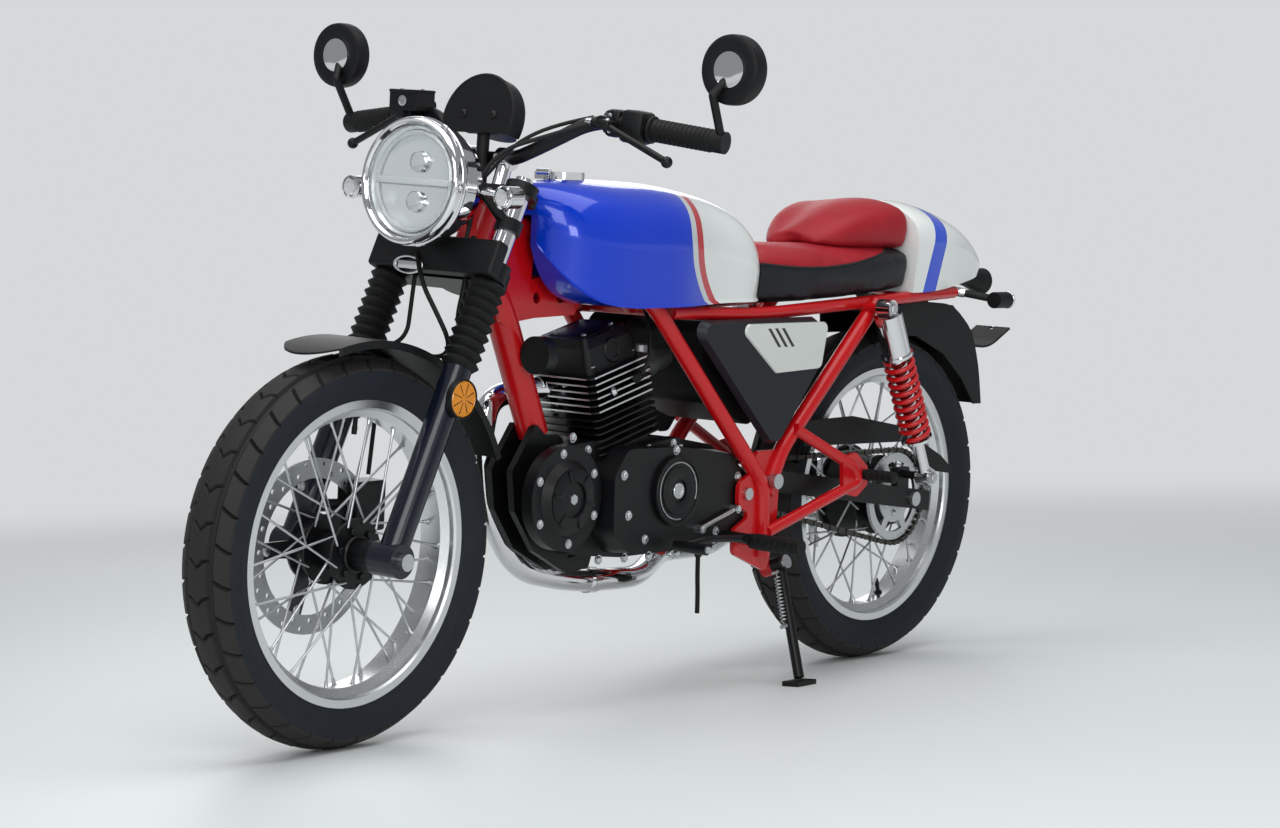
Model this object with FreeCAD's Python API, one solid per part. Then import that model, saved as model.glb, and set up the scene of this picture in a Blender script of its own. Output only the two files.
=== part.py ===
import FreeCAD, Part
import math
import os

# Cafe racer motorcycle, parked on its side stand, in millimetres.
# While it is built: +X ahead, +Y to the rider's left, +Z up, origin on the ground under
# the rear axle.  At the end the steering is turned to rest, the whole machine is leaned
# onto the stand, and the origin moves to the middle of the footprint.
# Places on the chassis are shares of the steering head: (along, across, up) times its
# distance ahead of the rear axle, the half width of the frame and its height.

V = FreeCAD.Vector
X, Y, Z = V(1, 0, 0), V(0, 1, 0), V(0, 0, 1)

# overall
wheelbase = 1335.0
frame_half_w = 115.0        # middle of the seat tubes and rear rails
lean_deg = 5.0              # to the left, onto the side stand
rest_steer_deg = 2.0        # to the left
rake_deg = 25.5
fork_offset = 42.5          # fork tubes ahead of the steering axis
fork_half_w = 100.0
seat_gap = 0.3              # between pieces that rest on one another
run_gap = 1.5               # beside a disc, drum or sprocket that turns
over = 40.0                 # how far a cutting tool runs past the face it cuts

# wheels
front_r, front_half_w = 298.0, 50.0
rear_r, rear_half_w = 303.0, 55.0
rim_r, rim_half_w, rim_wall = 231.0, 37.0, 3.0
bead_drop = 12.0            # flange lip above the bead seat
well_drop = 24.0            # flange lip above the bottom of the well
well_half_w = 17.0
tyre_shoulder_share = 0.93
tyre_bulge_share = 0.42
spoke_r = 1.9
spokes_per_side = 18
spoke_turn_deg = 42.0
spoke_split = 4.6           # spokes leave on either side of the flange
spoke_end_half_w = 8.0
front_hub_flange_r, front_hub_barrel_r, front_hub_half_w = 52.0, 30.0, 33.0
rear_hub_flange_r, rear_drum_r, rear_hub_half_w = 72.0, 78.0, 38.0
drum_rib_r = 86.0           # outer flange of the drum, where its spokes hook in
flange_t = 5.0
hub_nose_r = 24.0
front_axle_r, rear_axle_r = 7.5, 8.5
axle_nut_r, axle_nut_l = 13.0, 11.0

# front disc
disc_r, disc_ring_w, disc_t, disc_y = 134.0, 30.0, 4.0, -60.0
carrier_arm_w, carrier_arms = 26.0, 5
disc_hole_r, disc_holes = 4.0, 20

# rear sprocket and chain
chain_pitch = 12.7
rear_teeth, front_teeth = 42, 15
chain_y, chain_half_w, chain_half_h = 72.0, 7.5, 5.0
chain_room = 9.0            # free space around the chain in the crankcase
sprocket_t = 6.0
sprocket_arms, sprocket_arm_w = 6, 15.0
front_sprocket_share = (0.489, 0.0, 0.434)

# frame
head_tube_l = 112.0
head_tube_r = 27.0
backbone_r, downtube_r = 22.0, 25.0
seat_tube_r, rail_r, loop_r = 14.0, 11.0, 10.0
cross_r = 12.0
plate_t = 8.0
gusset_t = 5.0
backbone_shares = [(1.002, 0.0, 0.948), (0.905, 0.0, 0.933), (0.724, 0.0, 0.877), (0.647, 0.0, 0.790)]
downtube_shares = [(1.022, 0.0, 0.877), (0.969, 0.0, 0.785), (0.882, 0.0, 0.545)]
seat_tube_shares = [(0.757, 0.15, 0.882), (0.714, 0.85, 0.795), (0.437, 1.0, 0.428), (0.432, 1.0, 0.280)]
seat_rail_shares = [(0.672, 0.86, 0.780), (0.446, 0.88, 0.772), (0.0, 0.86, 0.801), (-0.142, 0.72, 0.807)]
rear_rail_shares = [(0.136, 0.98, 0.790), (0.388, 1.0, 0.499), (0.427, 1.0, 0.408)]
loop_shares = [(0.369, 1.1, 0.538), (0.217, 1.25, 0.449), (0.207, 1.25, 0.420), (0.433, 1.1, 0.331)]
loop_plate_shares = [(0.257, 0.474), (0.220, 0.482), (0.185, 0.450), (0.183, 0.412), (0.214, 0.388),
                     (0.252, 0.398)]
plate_shares = [(0.388, 0.496), (0.455, 0.496), (0.463, 0.456), (0.498, 0.432), (0.498, 0.388),
                (0.462, 0.366), (0.507, 0.341), (0.507, 0.291), (0.416, 0.245), (0.394, 0.352)]
gusset_shares = [(1.024, 0.890), (0.950, 0.943), (0.915, 0.897), (0.925, 0.800), (0.958, 0.742),
                 (0.990, 0.765)]
steady_shares = [(0.962, 0.832), (0.880, 0.848), (0.792, 0.800), (0.812, 0.772), (0.905, 0.768), (0.960, 0.760)]
steady_hole_shares = [(0.845, 0.806), (0.900, 0.806)]
steady_hole_r = 9.0
tail_cross_share = (-0.129, 0.70, 0.805)
pivot_share = (0.424, 0.0, 0.435)
low_cross_share = (0.434, 1.0, 0.324)
mid_cross_share = (0.647, 0.86, 0.780)
engine_bolt_share = (0.477, 0.0, 0.411)
engine_bolt_r = 6.0

# swingarm
pivot_tube_r, pivot_bolt_r = 18.0, 8.0
arm_front_y, arm_rear_y = 88.0, 103.0
arm_w, arm_front_h, arm_rear_h = 22.0, 38.0, 36.0
arm_tail = 52.0             # past the axle
arm_cross_share = (0.339, 0.0, 0.423)
arm_cross_r = 16.0
chain_guard_shares = [(0.290, 0.545), (0.150, 0.548), (0.010, 0.520), (-0.125, 0.445), (-0.178, 0.400),
                      (-0.110, 0.412), (-0.005, 0.484), (0.290, 0.492)]
chain_guard_y, chain_guard_t = 83.0, 3.0
chain_guard_post_shares = (0.250, 0.035)
chain_guard_post = 8.0

# shock absorbers
shock_y = 157.0
shock_top_share = (0.164, 0.0, 0.783)
shock_foot_share = (0.0246, 0.0, 0.418)
shock_eye_r, shock_eye_w, stud_r = 15.0, 27.0, 7.0
shock_body_r, shock_rod_r, shock_can_r = 19.0, 11.0, 25.0
spring_r, spring_wire_r, spring_turns = 24.0, 4.4, 10
spring_top_share, spring_foot_share = 0.72, 0.24

# engine
case_half_w = 62.0
case_round = 22.0
case_shares = [(0.500, 0.505), (0.620, 0.530), (0.775, 0.537), (0.872, 0.525), (0.906, 0.480), (0.898, 0.390),
               (0.845, 0.314), (0.736, 0.300), (0.585, 0.300), (0.505, 0.330), (0.488, 0.420)]
ear_r = 18.0
cyl_tilt_deg = 14.5
cyl_base_share = (0.7246, 0.0, 0.5157)
barrel_r = 46.0
barrel_h, fin_pitch, fin_t = 70.0, 11.4, 2.6
fin_half_x, fin_half_y, fin_round = 78.0, 74.0, 14.0
head_fin_h = 68.4
rocker_h, rocker_half_x, rocker_half_y, rocker_round = 56.0, 64.0, 60.0, 14.0
rocker_taper_share = 0.16
left_cover_t, left_cover_round, cover_taper_share = 42.0, 26.0, 0.045
left_cover_shares = [(0.808, 0.470), (0.775, 0.524), (0.640, 0.520), (0.500, 0.497), (0.468, 0.455),
                     (0.468, 0.350), (0.505, 0.318), (0.640, 0.312), (0.770, 0.312), (0.806, 0.355)]
ring_cover_share = (0.651, 0.0, 0.430)
ring_cover_r, ring_cover_t = 58.0, 7.0
sensor_shares = [(0.712, 0.520), (0.620, 0.532), (0.612, 0.500), (0.690, 0.490)]
sensor_t = 6.0
alternator_share = (0.889, 0.0, 0.430)
alternator_r, alternator_t = 84.0, 22.0
alternator_dome_r, alternator_dome_t = 62.0, 12.0
right_cover_t = 36.0
right_cover_shares = [(0.505, 0.470), (0.620, 0.520), (0.775, 0.520), (0.868, 0.480), (0.862, 0.375),
                      (0.785, 0.316), (0.560, 0.316), (0.495, 0.365)]
clutch_share = (0.620, 0.0, 0.415)
clutch_r, clutch_t = 66.0, 10.0
mount_shares = [(0.905, 0.568), (0.957, 0.480), (0.948, 0.402), (0.900, 0.322), (0.822, 0.272), (0.770, 0.278),
                (0.760, 0.312), (0.816, 0.302), (0.874, 0.350), (0.912, 0.412), (0.918, 0.470), (0.868, 0.530)]
mount_y, mount_t = 16.0, 12.0
mount_round = 5.0

# intake
carb_r, carb_l = 24.0, 74.0
airbox_half_w = 84.0
airbox_shares = [(0.570, 0.757), (0.570, 0.600), (0.446, 0.545), (0.280, 0.640), (0.280, 0.757)]
boot_share = (0.570, 0.0, 0.680)

# exhaust
pipe_r = 19.0
header_shares = [(0.775, -0.15, 0.628), (0.852, -0.46, 0.626), (0.922, -0.52, 0.606), (0.940, -0.49, 0.530),
                 (0.930, -0.46, 0.400), (0.858, -0.44, 0.272), (0.726, -0.48, 0.236), (0.600, -0.62, 0.223),
                 (0.484, -0.97, 0.211), (0.370, -1.42, 0.240), (0.300, -1.47, 0.256)]
muffler_r, muffler_tip_r = 42.0, 30.0
muffler_shares = [(0.345, -1.45, 0.2500), (-0.255, -1.74, 0.3880)]
muffler_neck_share, muffler_tail_share = 0.14, 0.07
tip_depth = 60.0
pipe_clamp_share, pipe_clamp_w, pipe_clamp_t = 0.5, 22.0, 3.0
hanger_share = (0.215, -1.31, 0.408)
stay_shares = [(0.852, -0.16, 0.318), (0.800, -0.30, 0.262), (0.735, -0.40, 0.262)]
stay_r = 6.0

# fuel tank: station along, half width, underside, shoulder and top
tank_half_w = 136.0
tunnel_half_w = 40.0
tank_lip_h, tank_lip_share = 6.0, 0.955
tank_shares = [(0.392, 0.50, 0.802, 0.842, 0.896), (0.446, 0.72, 0.800, 0.852, 0.952),
               (0.523, 0.83, 0.798, 0.880, 0.998), (0.601, 0.885, 0.796, 0.897, 1.015),
               (0.665, 0.985, 0.794, 0.903, 1.024), (0.746, 1.0, 0.793, 0.903, 1.029),
               (0.833, 0.965, 0.796, 0.907, 1.031), (0.896, 0.83, 0.820, 0.918, 1.028),
               (0.929, 0.63, 0.862, 0.932, 1.021), (0.946, 0.40, 0.906, 0.950, 1.007)]
cap_share, cap_r, cap_t, cap_neck_r, cap_sink = (0.841, 0.0, 1.031), 40.0, 12.0, 26.0, 6.0
cap_hinge_r = 5.0

# side covers
cover_y, cover_t, cover_round = 116.0, 13.0, 18.0
cover_shares = [(0.652, 0.764), (0.310, 0.766), (0.300, 0.673), (0.411, 0.510), (0.437, 0.510)]
cover_edge_share = 0.05
panel_t, panel_round = 3.0, 12.0
panel_shares = [(0.541, 0.756), (0.292, 0.756), (0.308, 0.660), (0.432, 0.654)]

# seat, hump and tail cowl: station along, half width, underside and top
seat_half_w, hump_half_w, cowl_half_w = 122.0, 106.0, 122.0
seat_shares = [(0.029, 0.90, 0.817, 0.916), (0.153, 1.0, 0.808, 0.911), (0.284, 0.98, 0.799, 0.909),
               (0.383, 0.90, 0.795, 0.910), (0.441, 0.78, 0.795, 0.907)]
hump_shares = [(0.0255, 1.0, 0.894, 1.004), (0.104, 0.98, 0.894, 1.002), (0.178, 0.86, 0.894, 0.976),
               (0.230, 0.64, 0.894, 0.934), (0.258, 0.40, 0.894, 0.905)]
cowl_shares = [(-0.281, 0.28, 0.850, 0.862), (-0.262, 0.46, 0.844, 0.872), (-0.208, 0.69, 0.834, 0.922),
               (-0.124, 0.88, 0.822, 0.974), (-0.041, 0.98, 0.812, 0.998), (0.025, 1.0, 0.810, 0.997)]

# rear mudguard, lamp and indicators
guard_half_w, guard_t = 65.0, 4.0
guard_shares = [(0.062, 0.0, 0.766), (-0.058, 0.0, 0.785), (-0.170, 0.0, 0.776), (-0.236, 0.0, 0.716),
                (-0.262, 0.0, 0.632), (-0.274, 0.0, 0.552)]
guard_inner_shares = [(-0.252, 0.552), (-0.208, 0.612), (-0.145, 0.669), (-0.058, 0.711), (0.058, 0.711)]
guard_hanger_l, guard_hanger_w = 24.0, 60.0
plate_arm_shares = [(-0.240, 0.0, 0.690), (-0.330, 0.0, 0.672), (-0.402, 0.0, 0.716)]
plate_arm_w, plate_hole_r = 76.0, 6.0
lamp_root_r, lamp_face_r = 15.0, 26.0
lamp_shares = [(-0.262, 0.0, 0.838), (-0.300, 0.0, 0.830), (-0.352, 0.0, 0.822)]
blinker_r, blinker_l, blinker_stalk_r = 15.0, 46.0, 7.0
rear_blinker_y, rear_blinker_share = 150.0, (-0.194, 0.0, 0.793)

# fork
leg_r, leg_l, leg_foot_r, leg_foot_half_w = 22.0, 309.0, 26.0, 25.0
gaiter_r, gaiter_waist_r, gaiter_l, gaiter_ribs = 30.0, 23.0, 142.0, 9
tube_r = 16.5
stem_r = 14.0
clamp_r, low_clamp_h, top_clamp_h = 26.0, 30.0, 20.0
cover_rise, cover_front, cover_depth = 58.0, 34.0, 26.0
clamp_web_w = 44.0
cap_nut_r, cap_nut_h = 14.0, 10.0
caliper_l, caliper_w, caliper_h = 66.0, 44.0, 78.0
caliper_deg = 152.0
reflector_r, reflector_t = 30.0, 8.0
reflector_s = 262.0

# head lamp and gauge, ahead of and above the top of the fork
lamp_rim_r, lamp_rim_t, lamp_bowl_l = 96.0, 24.0, 84.0
bezel_r = 3.0
lamp_ahead, lamp_rise = 147.0, 1.0
lamp_tilt_deg = 5.0
lens_r, lens_sag = 86.0, 12.0
ear_bar_r, ear_half_w = 9.0, 84.0
gauge_r, gauge_l = 38.0, 44.0
gauge_ahead, gauge_rise, gauge_tilt_deg = -2.0, 94.0, 50.0
hood_r, hood_t, hood_depth = 70.0, 4.0, 26.0
front_blinker_r, front_blinker_l, front_blinker_y = 17.0, 30.0, 155.0

# bar, its middle behind and above the top of the fork
bar_r, grip_r = 11.0, 17.0
bar_back, bar_up = 38.0, 38.0
bar_mid_y, bar_bend_y, bar_rise_y, bar_end_y = 46.0, 88.0, 165.0, 372.0
bar_rise, bar_drop, bar_sweep, bar_pull = 68.0, 24.0, 53.0, 35.0
grip_l = 118.0
riser_r, riser_w = 18.0, 24.0
perch_l, perch_r = 34.0, 18.0
switch_l, switch_r = 40.0, 21.0
lever_r, lever_tip_r, lever_reach, lever_l, lever_drop = 5.5, 9.0, 50.0, 124.0, 40.0
reservoir_w, reservoir_h = 44.0, 30.0
mirror_r, mirror_t, mirror_arm_r = 52.0, 22.0, 6.5
mirror_y, mirror_rise, mirror_fore, mirror_knee_share = 402.0, 108.0, 38.0, 0.64

# front mudguard
fender_r, fender_t, fender_half_w = 318.0, 3.0, 58.0
fender_from_deg, fender_to_deg = 70.0, 156.0
fender_nose_r = 66.0
fender_stay_r = 5.0

# cables and brake hose, both held between the fork and the bar
cable_r = 3.4

# stand, pegs, pedals
stand_share = (0.3584, 0.70, 0.2460)
stand_leg_share = (0.028, 0.80, -0.228)
stand_axis_aim = V(0.0, 1.0, 0.4)
stand_fold_deg = 92.0
stand_r, stand_eye_r, stand_eye_w, stand_pin_r = 9.0, 15.0, 22.0, 6.0
stand_lug_r = 11.0
foot_w, foot_l, foot_t = 34.0, 52.0, 8.0
peg_share = (0.481, 0.0, 0.318)
peg_y, peg_l, peg_r, peg_pin_r = 132.0, 104.0, 13.0, 9.0
pass_peg_share = (0.194, 0.0, 0.434)
pass_peg_r, pass_peg_l = 9.0, 66.0
gear_shares = [(0.663, 1.12, 0.324), (0.608, 1.26, 0.336), (0.517, 1.26, 0.328)]
toe_peg_y, toe_peg_l, toe_peg_r = 142.0, 44.0, 9.0
lever_rod_r = 6.0
brake_shares = [(0.440, -1.24, 0.285), (0.543, -1.24, 0.262), (0.647, -1.24, 0.306)]
horn_share, horn_r, horn_t = (0.925, 0.0, 0.702), 30.0, 22.0

# hanging breather hose, from its stub below the gearbox down towards the ground
hose_r = 4.0
stub_r = 6.0
hose_route = [V(536, 50, 232), V(537, 51, 200), V(535, 52, 168), V(536, 53, 136)]


def head_point():
    # the middle of the steering axis at the top of the fork
    return axis_point(tube_l())


def tube_l():
    return leg_l + gaiter_l + 2 * seat_gap + low_clamp_h + head_tube_l + top_clamp_h + 2 * seat_gap


def place(share, side=1.0):
    head = head_point()
    return V(share[0] * head.x, side * share[1] * frame_half_w, share[2] * head.z)


def flat_place(share, y):
    head = head_point()
    return V(share[0] * head.x, y, share[1] * head.z)


def places(shares, side=1.0):
    return [place(s, side) for s in shares]


def at_y(point, y):
    return V(point.x, y, point.z)


def rod(a, b, r):
    return Part.makeCylinder(r, (b - a).Length, a, b - a)


def rod_y(centre, half_len, r):
    return rod(centre - Y * half_len, centre + Y * half_len, r)


def corner_path(points, bend_share=0.45, closed=False):
    # straight runs joined by tangent arcs, each as large as its two runs allow
    n = len(points)
    ends = []
    order = range(n) if closed else range(1, n - 1)
    for i in order:
        p, a, b = points[i], points[i - 1], points[(i + 1) % n]
        u, w = a - p, b - p
        cut_back = bend_share * min(u.Length, w.Length)
        u.normalize()
        w.normalize()
        start, stop = p + u * cut_back, p + w * cut_back
        half = u.getAngle(w) / 2
        mid_dir = u + w
        mid_dir.normalize()
        reach = cut_back / math.cos(half)
        radius = cut_back * math.tan(half)
        ends.append((start, p + mid_dir * (reach - radius), stop))
    edges = []
    here = ends[-1][2] if closed else points[0]
    for start, mid, stop in ends:
        if (start - here).Length > seat_gap:
            edges.append(Part.LineSegment(here, start).toShape())
        edges.append(Part.Arc(start, mid, stop).toShape())
        here = stop
    if not closed:
        edges.append(Part.LineSegment(here, points[-1]).toShape())
    return Part.Wire(edges)


def tube(points, r, bend_share=0.4):
    if len(points) == 2:
        return rod(points[0], points[1], r)
    path = corner_path(points, bend_share)
    start_dir = points[1] - points[0]
    ring = Part.Wire(Part.makeCircle(r, points[0], start_dir))
    return Part.Wire(path.Edges).makePipeShell([ring], True, True)


def rounded_face(points, r):
    # closed outline with every corner rounded by r, or by less where a side is short
    n = len(points)
    edges = []
    ends = []
    for i in range(n):
        p, a, b = points[i], points[i - 1], points[(i + 1) % n]
        u, w = a - p, b - p
        half = u.getAngle(w) / 2
        back = min(r / math.tan(half), 0.45 * min(u.Length, w.Length))
        u.normalize()
        w.normalize()
        mid_dir = u + w
        mid_dir.normalize()
        reach = back / math.cos(half) - back * math.tan(half)
        ends.append((p + u * back, p + mid_dir * reach, p + w * back))
    here = ends[-1][2]
    for start, mid, stop in ends:
        edges.append(Part.LineSegment(here, start).toShape())
        edges.append(Part.Arc(start, mid, stop).toShape())
        here = stop
    return Part.Face(Part.Wire(edges))


def side_plate(shares, y, thick, r):
    # a plate seen from the side, from y outward by thick
    pts = [flat_place(s, y) for s in shares]
    return rounded_face(pts, r).extrude(Y * thick)


def tapered_plate(shares, y, thick, r, taper_share):
    # a cover seen from the side, its outer face a little smaller than its foot
    pts = [flat_place(s, y) for s in shares]
    middle = V(0, 0, 0)
    for p in pts:
        middle = middle + p * (1.0 / len(pts))
    outer = [middle + (p - middle) * (1 - taper_share) + Y * thick for p in pts]
    wires = [rounded_face(pts, r).OuterWire, rounded_face(outer, r * (1 - taper_share)).OuterWire]
    return Part.makeLoft(wires, True, True)


def fused(shapes):
    first = shapes[0]
    if len(shapes) > 1:
        first = first.fuse(shapes[1:])
    return first.removeSplitter()


def biggest(shape):
    return max(shape.Solids, key=lambda s: s.Volume)


def spin_face(points):
    # profile points are (radius, y); the solid is turned about the Y axis at the origin
    pts = [V(r, y, 0) for r, y in points]
    face = Part.Face(Part.makePolygon(pts + [pts[0]]))
    return face.revolve(V(0, 0, 0), Y, 360)


def box_at(centre, lx, ly, lz):
    return Part.makeBox(lx, ly, lz, centre - V(lx / 2, ly / 2, lz / 2))


def ring(centre, axis, outer_r, inner_r, length):
    outer = Part.makeCylinder(outer_r, length, centre, axis)
    inner = Part.makeCylinder(inner_r, length + 2 * over, centre - axis * over, axis)
    return outer.cut(inner)


def cone(a, b, ra, rb):
    return Part.makeCone(ra, rb, (b - a).Length, a, b - a)


def turned(shape, base, axis, degrees):
    moved = shape.copy()
    moved.rotate(base, axis, degrees)
    return moved


def shifted(shape, by):
    moved = shape.copy()
    moved.translate(by)
    return moved


def tyre(radius, half_w):
    seat_r = rim_r - bead_drop
    seat_y = rim_half_w - rim_wall - seat_gap
    lip_r = rim_r + seat_gap
    side_h = radius - lip_r
    wide_r = lip_r + side_h * tyre_bulge_share
    edge_r = radius - half_w * (1 - tyre_shoulder_share) - side_h / 4
    half = [(seat_r + seat_gap, 0.0), (seat_r + seat_gap, seat_y), (lip_r + seat_gap, seat_y),
            (lip_r + side_h / 12, rim_half_w)]
    p = [V(r, y, 0) for r, y in half]
    wide = V(wide_r, half_w, 0)
    edge = V(edge_r, half_w * tyre_shoulder_share, 0)
    top = V(radius, 0, 0)

    def flip(q):
        return V(q.x, -q.y, 0)

    line = Part.LineSegment
    edges = [line(flip(p[1]), p[1]).toShape(), line(p[1], p[2]).toShape(), line(p[2], p[3]).toShape(),
             Part.Arc(p[3], wide, edge).toShape(), Part.Arc(edge, top, flip(edge)).toShape(),
             Part.Arc(flip(edge), flip(wide), flip(p[3])).toShape(),
             line(flip(p[3]), flip(p[2])).toShape(), line(flip(p[2]), flip(p[1])).toShape()]
    return Part.Face(Part.Wire(edges)).revolve(V(0, 0, 0), Y, 360)


def rim():
    seat_r, well_r = rim_r - bead_drop, rim_r - well_drop
    inner_y = rim_half_w - rim_wall
    shelf_y = (inner_y + well_half_w) / 2
    outer = [(rim_r, rim_half_w), (rim_r, inner_y), (seat_r, inner_y), (seat_r, shelf_y), (well_r, well_half_w)]
    under = [(well_r - rim_wall, well_half_w), (seat_r - rim_wall, shelf_y), (seat_r - rim_wall, inner_y),
             (seat_r, rim_half_w)]
    left = outer + [(well_r, -well_half_w)]
    mirrored_outer = [(r, -y) for r, y in reversed(outer[:-1])]
    mirrored_under = [(r, -y) for r, y in reversed(under)]
    return spin_face(left + mirrored_outer + mirrored_under + under)


def spokes(flange_y, hub_radii, rim_solid, hub_solid):
    # crossed spokes; hub_radii are where they hook in on the left and on the right
    made = []
    rim_in = rim_r - well_drop
    for side, hub_r in ((1, hub_radii[0]), (-1, hub_radii[1])):
        for i in range(spokes_per_side):
            kind = 1 if i % 2 else -1
            a = math.radians(360.0 * (i + (side - 1) / 4.0) / spokes_per_side)
            b = a + kind * math.radians(spoke_turn_deg)
            start_y = side * (flange_y - flange_t / 2) + kind * spoke_split
            start = V(hub_r * math.cos(a), start_y, hub_r * math.sin(a))
            stop = V(rim_in * math.cos(b), side * spoke_end_half_w, rim_in * math.sin(b))
            bar = rod(start, stop, spoke_r).cut(hub_solid).cut(rim_solid)
            made.append(max(bar.Solids, key=lambda s: s.Volume))
    return Part.makeCompound(made)


def front_hub():
    w, f = front_hub_half_w, front_hub_flange_r
    nose = fork_half_w - leg_foot_half_w - run_gap
    prof = [(front_axle_r + seat_gap, -nose), (hub_nose_r, -nose), (hub_nose_r, -w), (f, -w), (f, flange_t - w),
            (front_hub_barrel_r, flange_t - w), (front_hub_barrel_r, w - flange_t), (f, w - flange_t), (f, w),
            (hub_nose_r, w), (hub_nose_r, nose), (front_axle_r + seat_gap, nose)]
    return spin_face(prof)


def rear_hub():
    w, f = rear_hub_half_w, rear_hub_flange_r
    bore = rear_axle_r + seat_gap
    sprocket_in = chain_y - sprocket_t / 2
    deep = w - flange_t - flange_t
    prof = [(bore, -deep), (rear_drum_r - flange_t, -deep), (rear_drum_r - flange_t, -w), (drum_rib_r, -w),
            (drum_rib_r, flange_t - w), (rear_drum_r, flange_t - w), (f - flange_t, w - flange_t),
            (f, w - flange_t), (f, w), (front_hub_flange_r, w), (front_hub_flange_r, sprocket_in),
            (bore, sprocket_in)]
    return spin_face(prof)


def front_disc():
    # a drilled ring on a five-armed carrier
    ring_in = disc_r - disc_ring_w
    base = V(0, disc_y - disc_t / 2, 0)
    outer = ring(base, Y, disc_r, ring_in, disc_t)
    arms = []
    for i in range(carrier_arms):
        arm_box = Part.makeBox(ring_in + disc_ring_w / 3, disc_t, carrier_arm_w, base - Z * carrier_arm_w / 2)
        arms.append(turned(arm_box, V(0, 0, 0), Y, 360.0 * i / carrier_arms))
    middle = Part.makeCylinder(front_hub_flange_r, disc_t, base, Y)
    cuts = [Part.makeCylinder(hub_nose_r + seat_gap, 2 * over, V(0, disc_y - over, 0), Y)]
    for i in range(disc_holes):
        for row_share, half_step in ((0.3, 0.0), (0.72, 0.5)):
            hole_at = V(ring_in + disc_ring_w * row_share, disc_y - over, 0)
            hole = Part.makeCylinder(disc_hole_r, 2 * over, hole_at, Y)
            cuts.append(turned(hole, V(0, 0, 0), Y, 360.0 * (i + half_step) / disc_holes))
    step_r = front_hub_flange_r - 2 * flange_t
    step = ring(V(0, disc_y + disc_t / 2, 0), Y, step_r, hub_nose_r + seat_gap,
                -front_hub_half_w - disc_y - disc_t / 2)
    return fused([outer, middle] + arms).cut(cuts).fuse(step).removeSplitter()


def pitch_radius(teeth):
    return chain_pitch / (2 * math.sin(math.pi / teeth))


def rear_sprocket():
    # a toothed ring, six arms and a hub plate, inside the chain
    tip_r = pitch_radius(rear_teeth) - chain_half_h - run_gap / 2
    y0 = chain_y - sprocket_t / 2
    hub_r = front_hub_flange_r - flange_t
    whole = Part.makeCylinder(tip_r, sprocket_t, V(0, y0, 0), Y)
    window = ring(V(0, y0 - over, 0), Y, tip_r - sprocket_arm_w, hub_r, sprocket_t + 2 * over)
    arms = []
    for i in range(sprocket_arms):
        bar = Part.makeBox(tip_r - sprocket_arm_w / 2, sprocket_t, sprocket_arm_w, V(0, y0, -sprocket_arm_w / 2))
        arms.append(turned(bar, V(0, 0, 0), Y, 360.0 * i / sprocket_arms))
    bore = Part.makeCylinder(rear_axle_r + seat_gap, 2 * over, V(0, y0 - over, 0), Y)
    return fused([whole.cut(window)] + arms).cut(bore)


def chain_face(grow):
    # the outline of the chain's run around both sprockets, grown from its pitch line
    rear_c, front_c = V(0, chain_y, rear_r), at_y(place(front_sprocket_share), chain_y)
    rb, rs = pitch_radius(rear_teeth) + grow, pitch_radius(front_teeth) + grow
    d = front_c - rear_c
    tilt = math.atan2(d.z, d.x)
    slope = math.acos((rb - rs) / d.Length)
    ends = []
    for sign in (1, -1):
        n = V(math.cos(tilt + sign * slope), 0, math.sin(tilt + sign * slope))
        ends.append((rear_c + n * rb, front_c + n * rs))
    ahead = V(math.cos(tilt), 0, math.sin(tilt))
    edges = [Part.LineSegment(ends[0][0], ends[0][1]).toShape(),
             Part.Arc(ends[0][1], front_c + ahead * rs, ends[1][1]).toShape(),
             Part.LineSegment(ends[1][1], ends[1][0]).toShape(),
             Part.Arc(ends[1][0], rear_c - ahead * rb, ends[0][0]).toShape()]
    return Part.Face(Part.Wire(edges))


def chain():
    band = chain_face(chain_half_h).cut(chain_face(-chain_half_h))
    return shifted(band.extrude(Y * (2 * chain_half_w)), V(0, -chain_half_w, 0))


def steering_point(height):
    # the steering axis at a height above the ground
    foot_x = wheelbase + (front_r * math.tan(math.radians(rake_deg))) - fork_offset / math.cos(math.radians(rake_deg))
    return V(foot_x - height * math.tan(math.radians(rake_deg)), 0, height)


def axis_dir():
    return V(-math.sin(math.radians(rake_deg)), 0, math.cos(math.radians(rake_deg)))


def fork_point(s, side):
    # a place on a fork tube, s above the axle
    return V(wheelbase, side * fork_half_w, front_r) + axis_dir() * s


def across():
    # forward, square to the steering axis
    return V(math.cos(math.radians(rake_deg)), 0, math.sin(math.radians(rake_deg)))


def axis_point(s):
    # the steering axis beside the fork tubes, s above the axle
    return fork_point(s, 0) - across() * fork_offset


def low_clamp_s():
    return leg_l + gaiter_l + 2 * seat_gap


def top_clamp_s():
    return tube_l() - top_clamp_h


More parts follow.
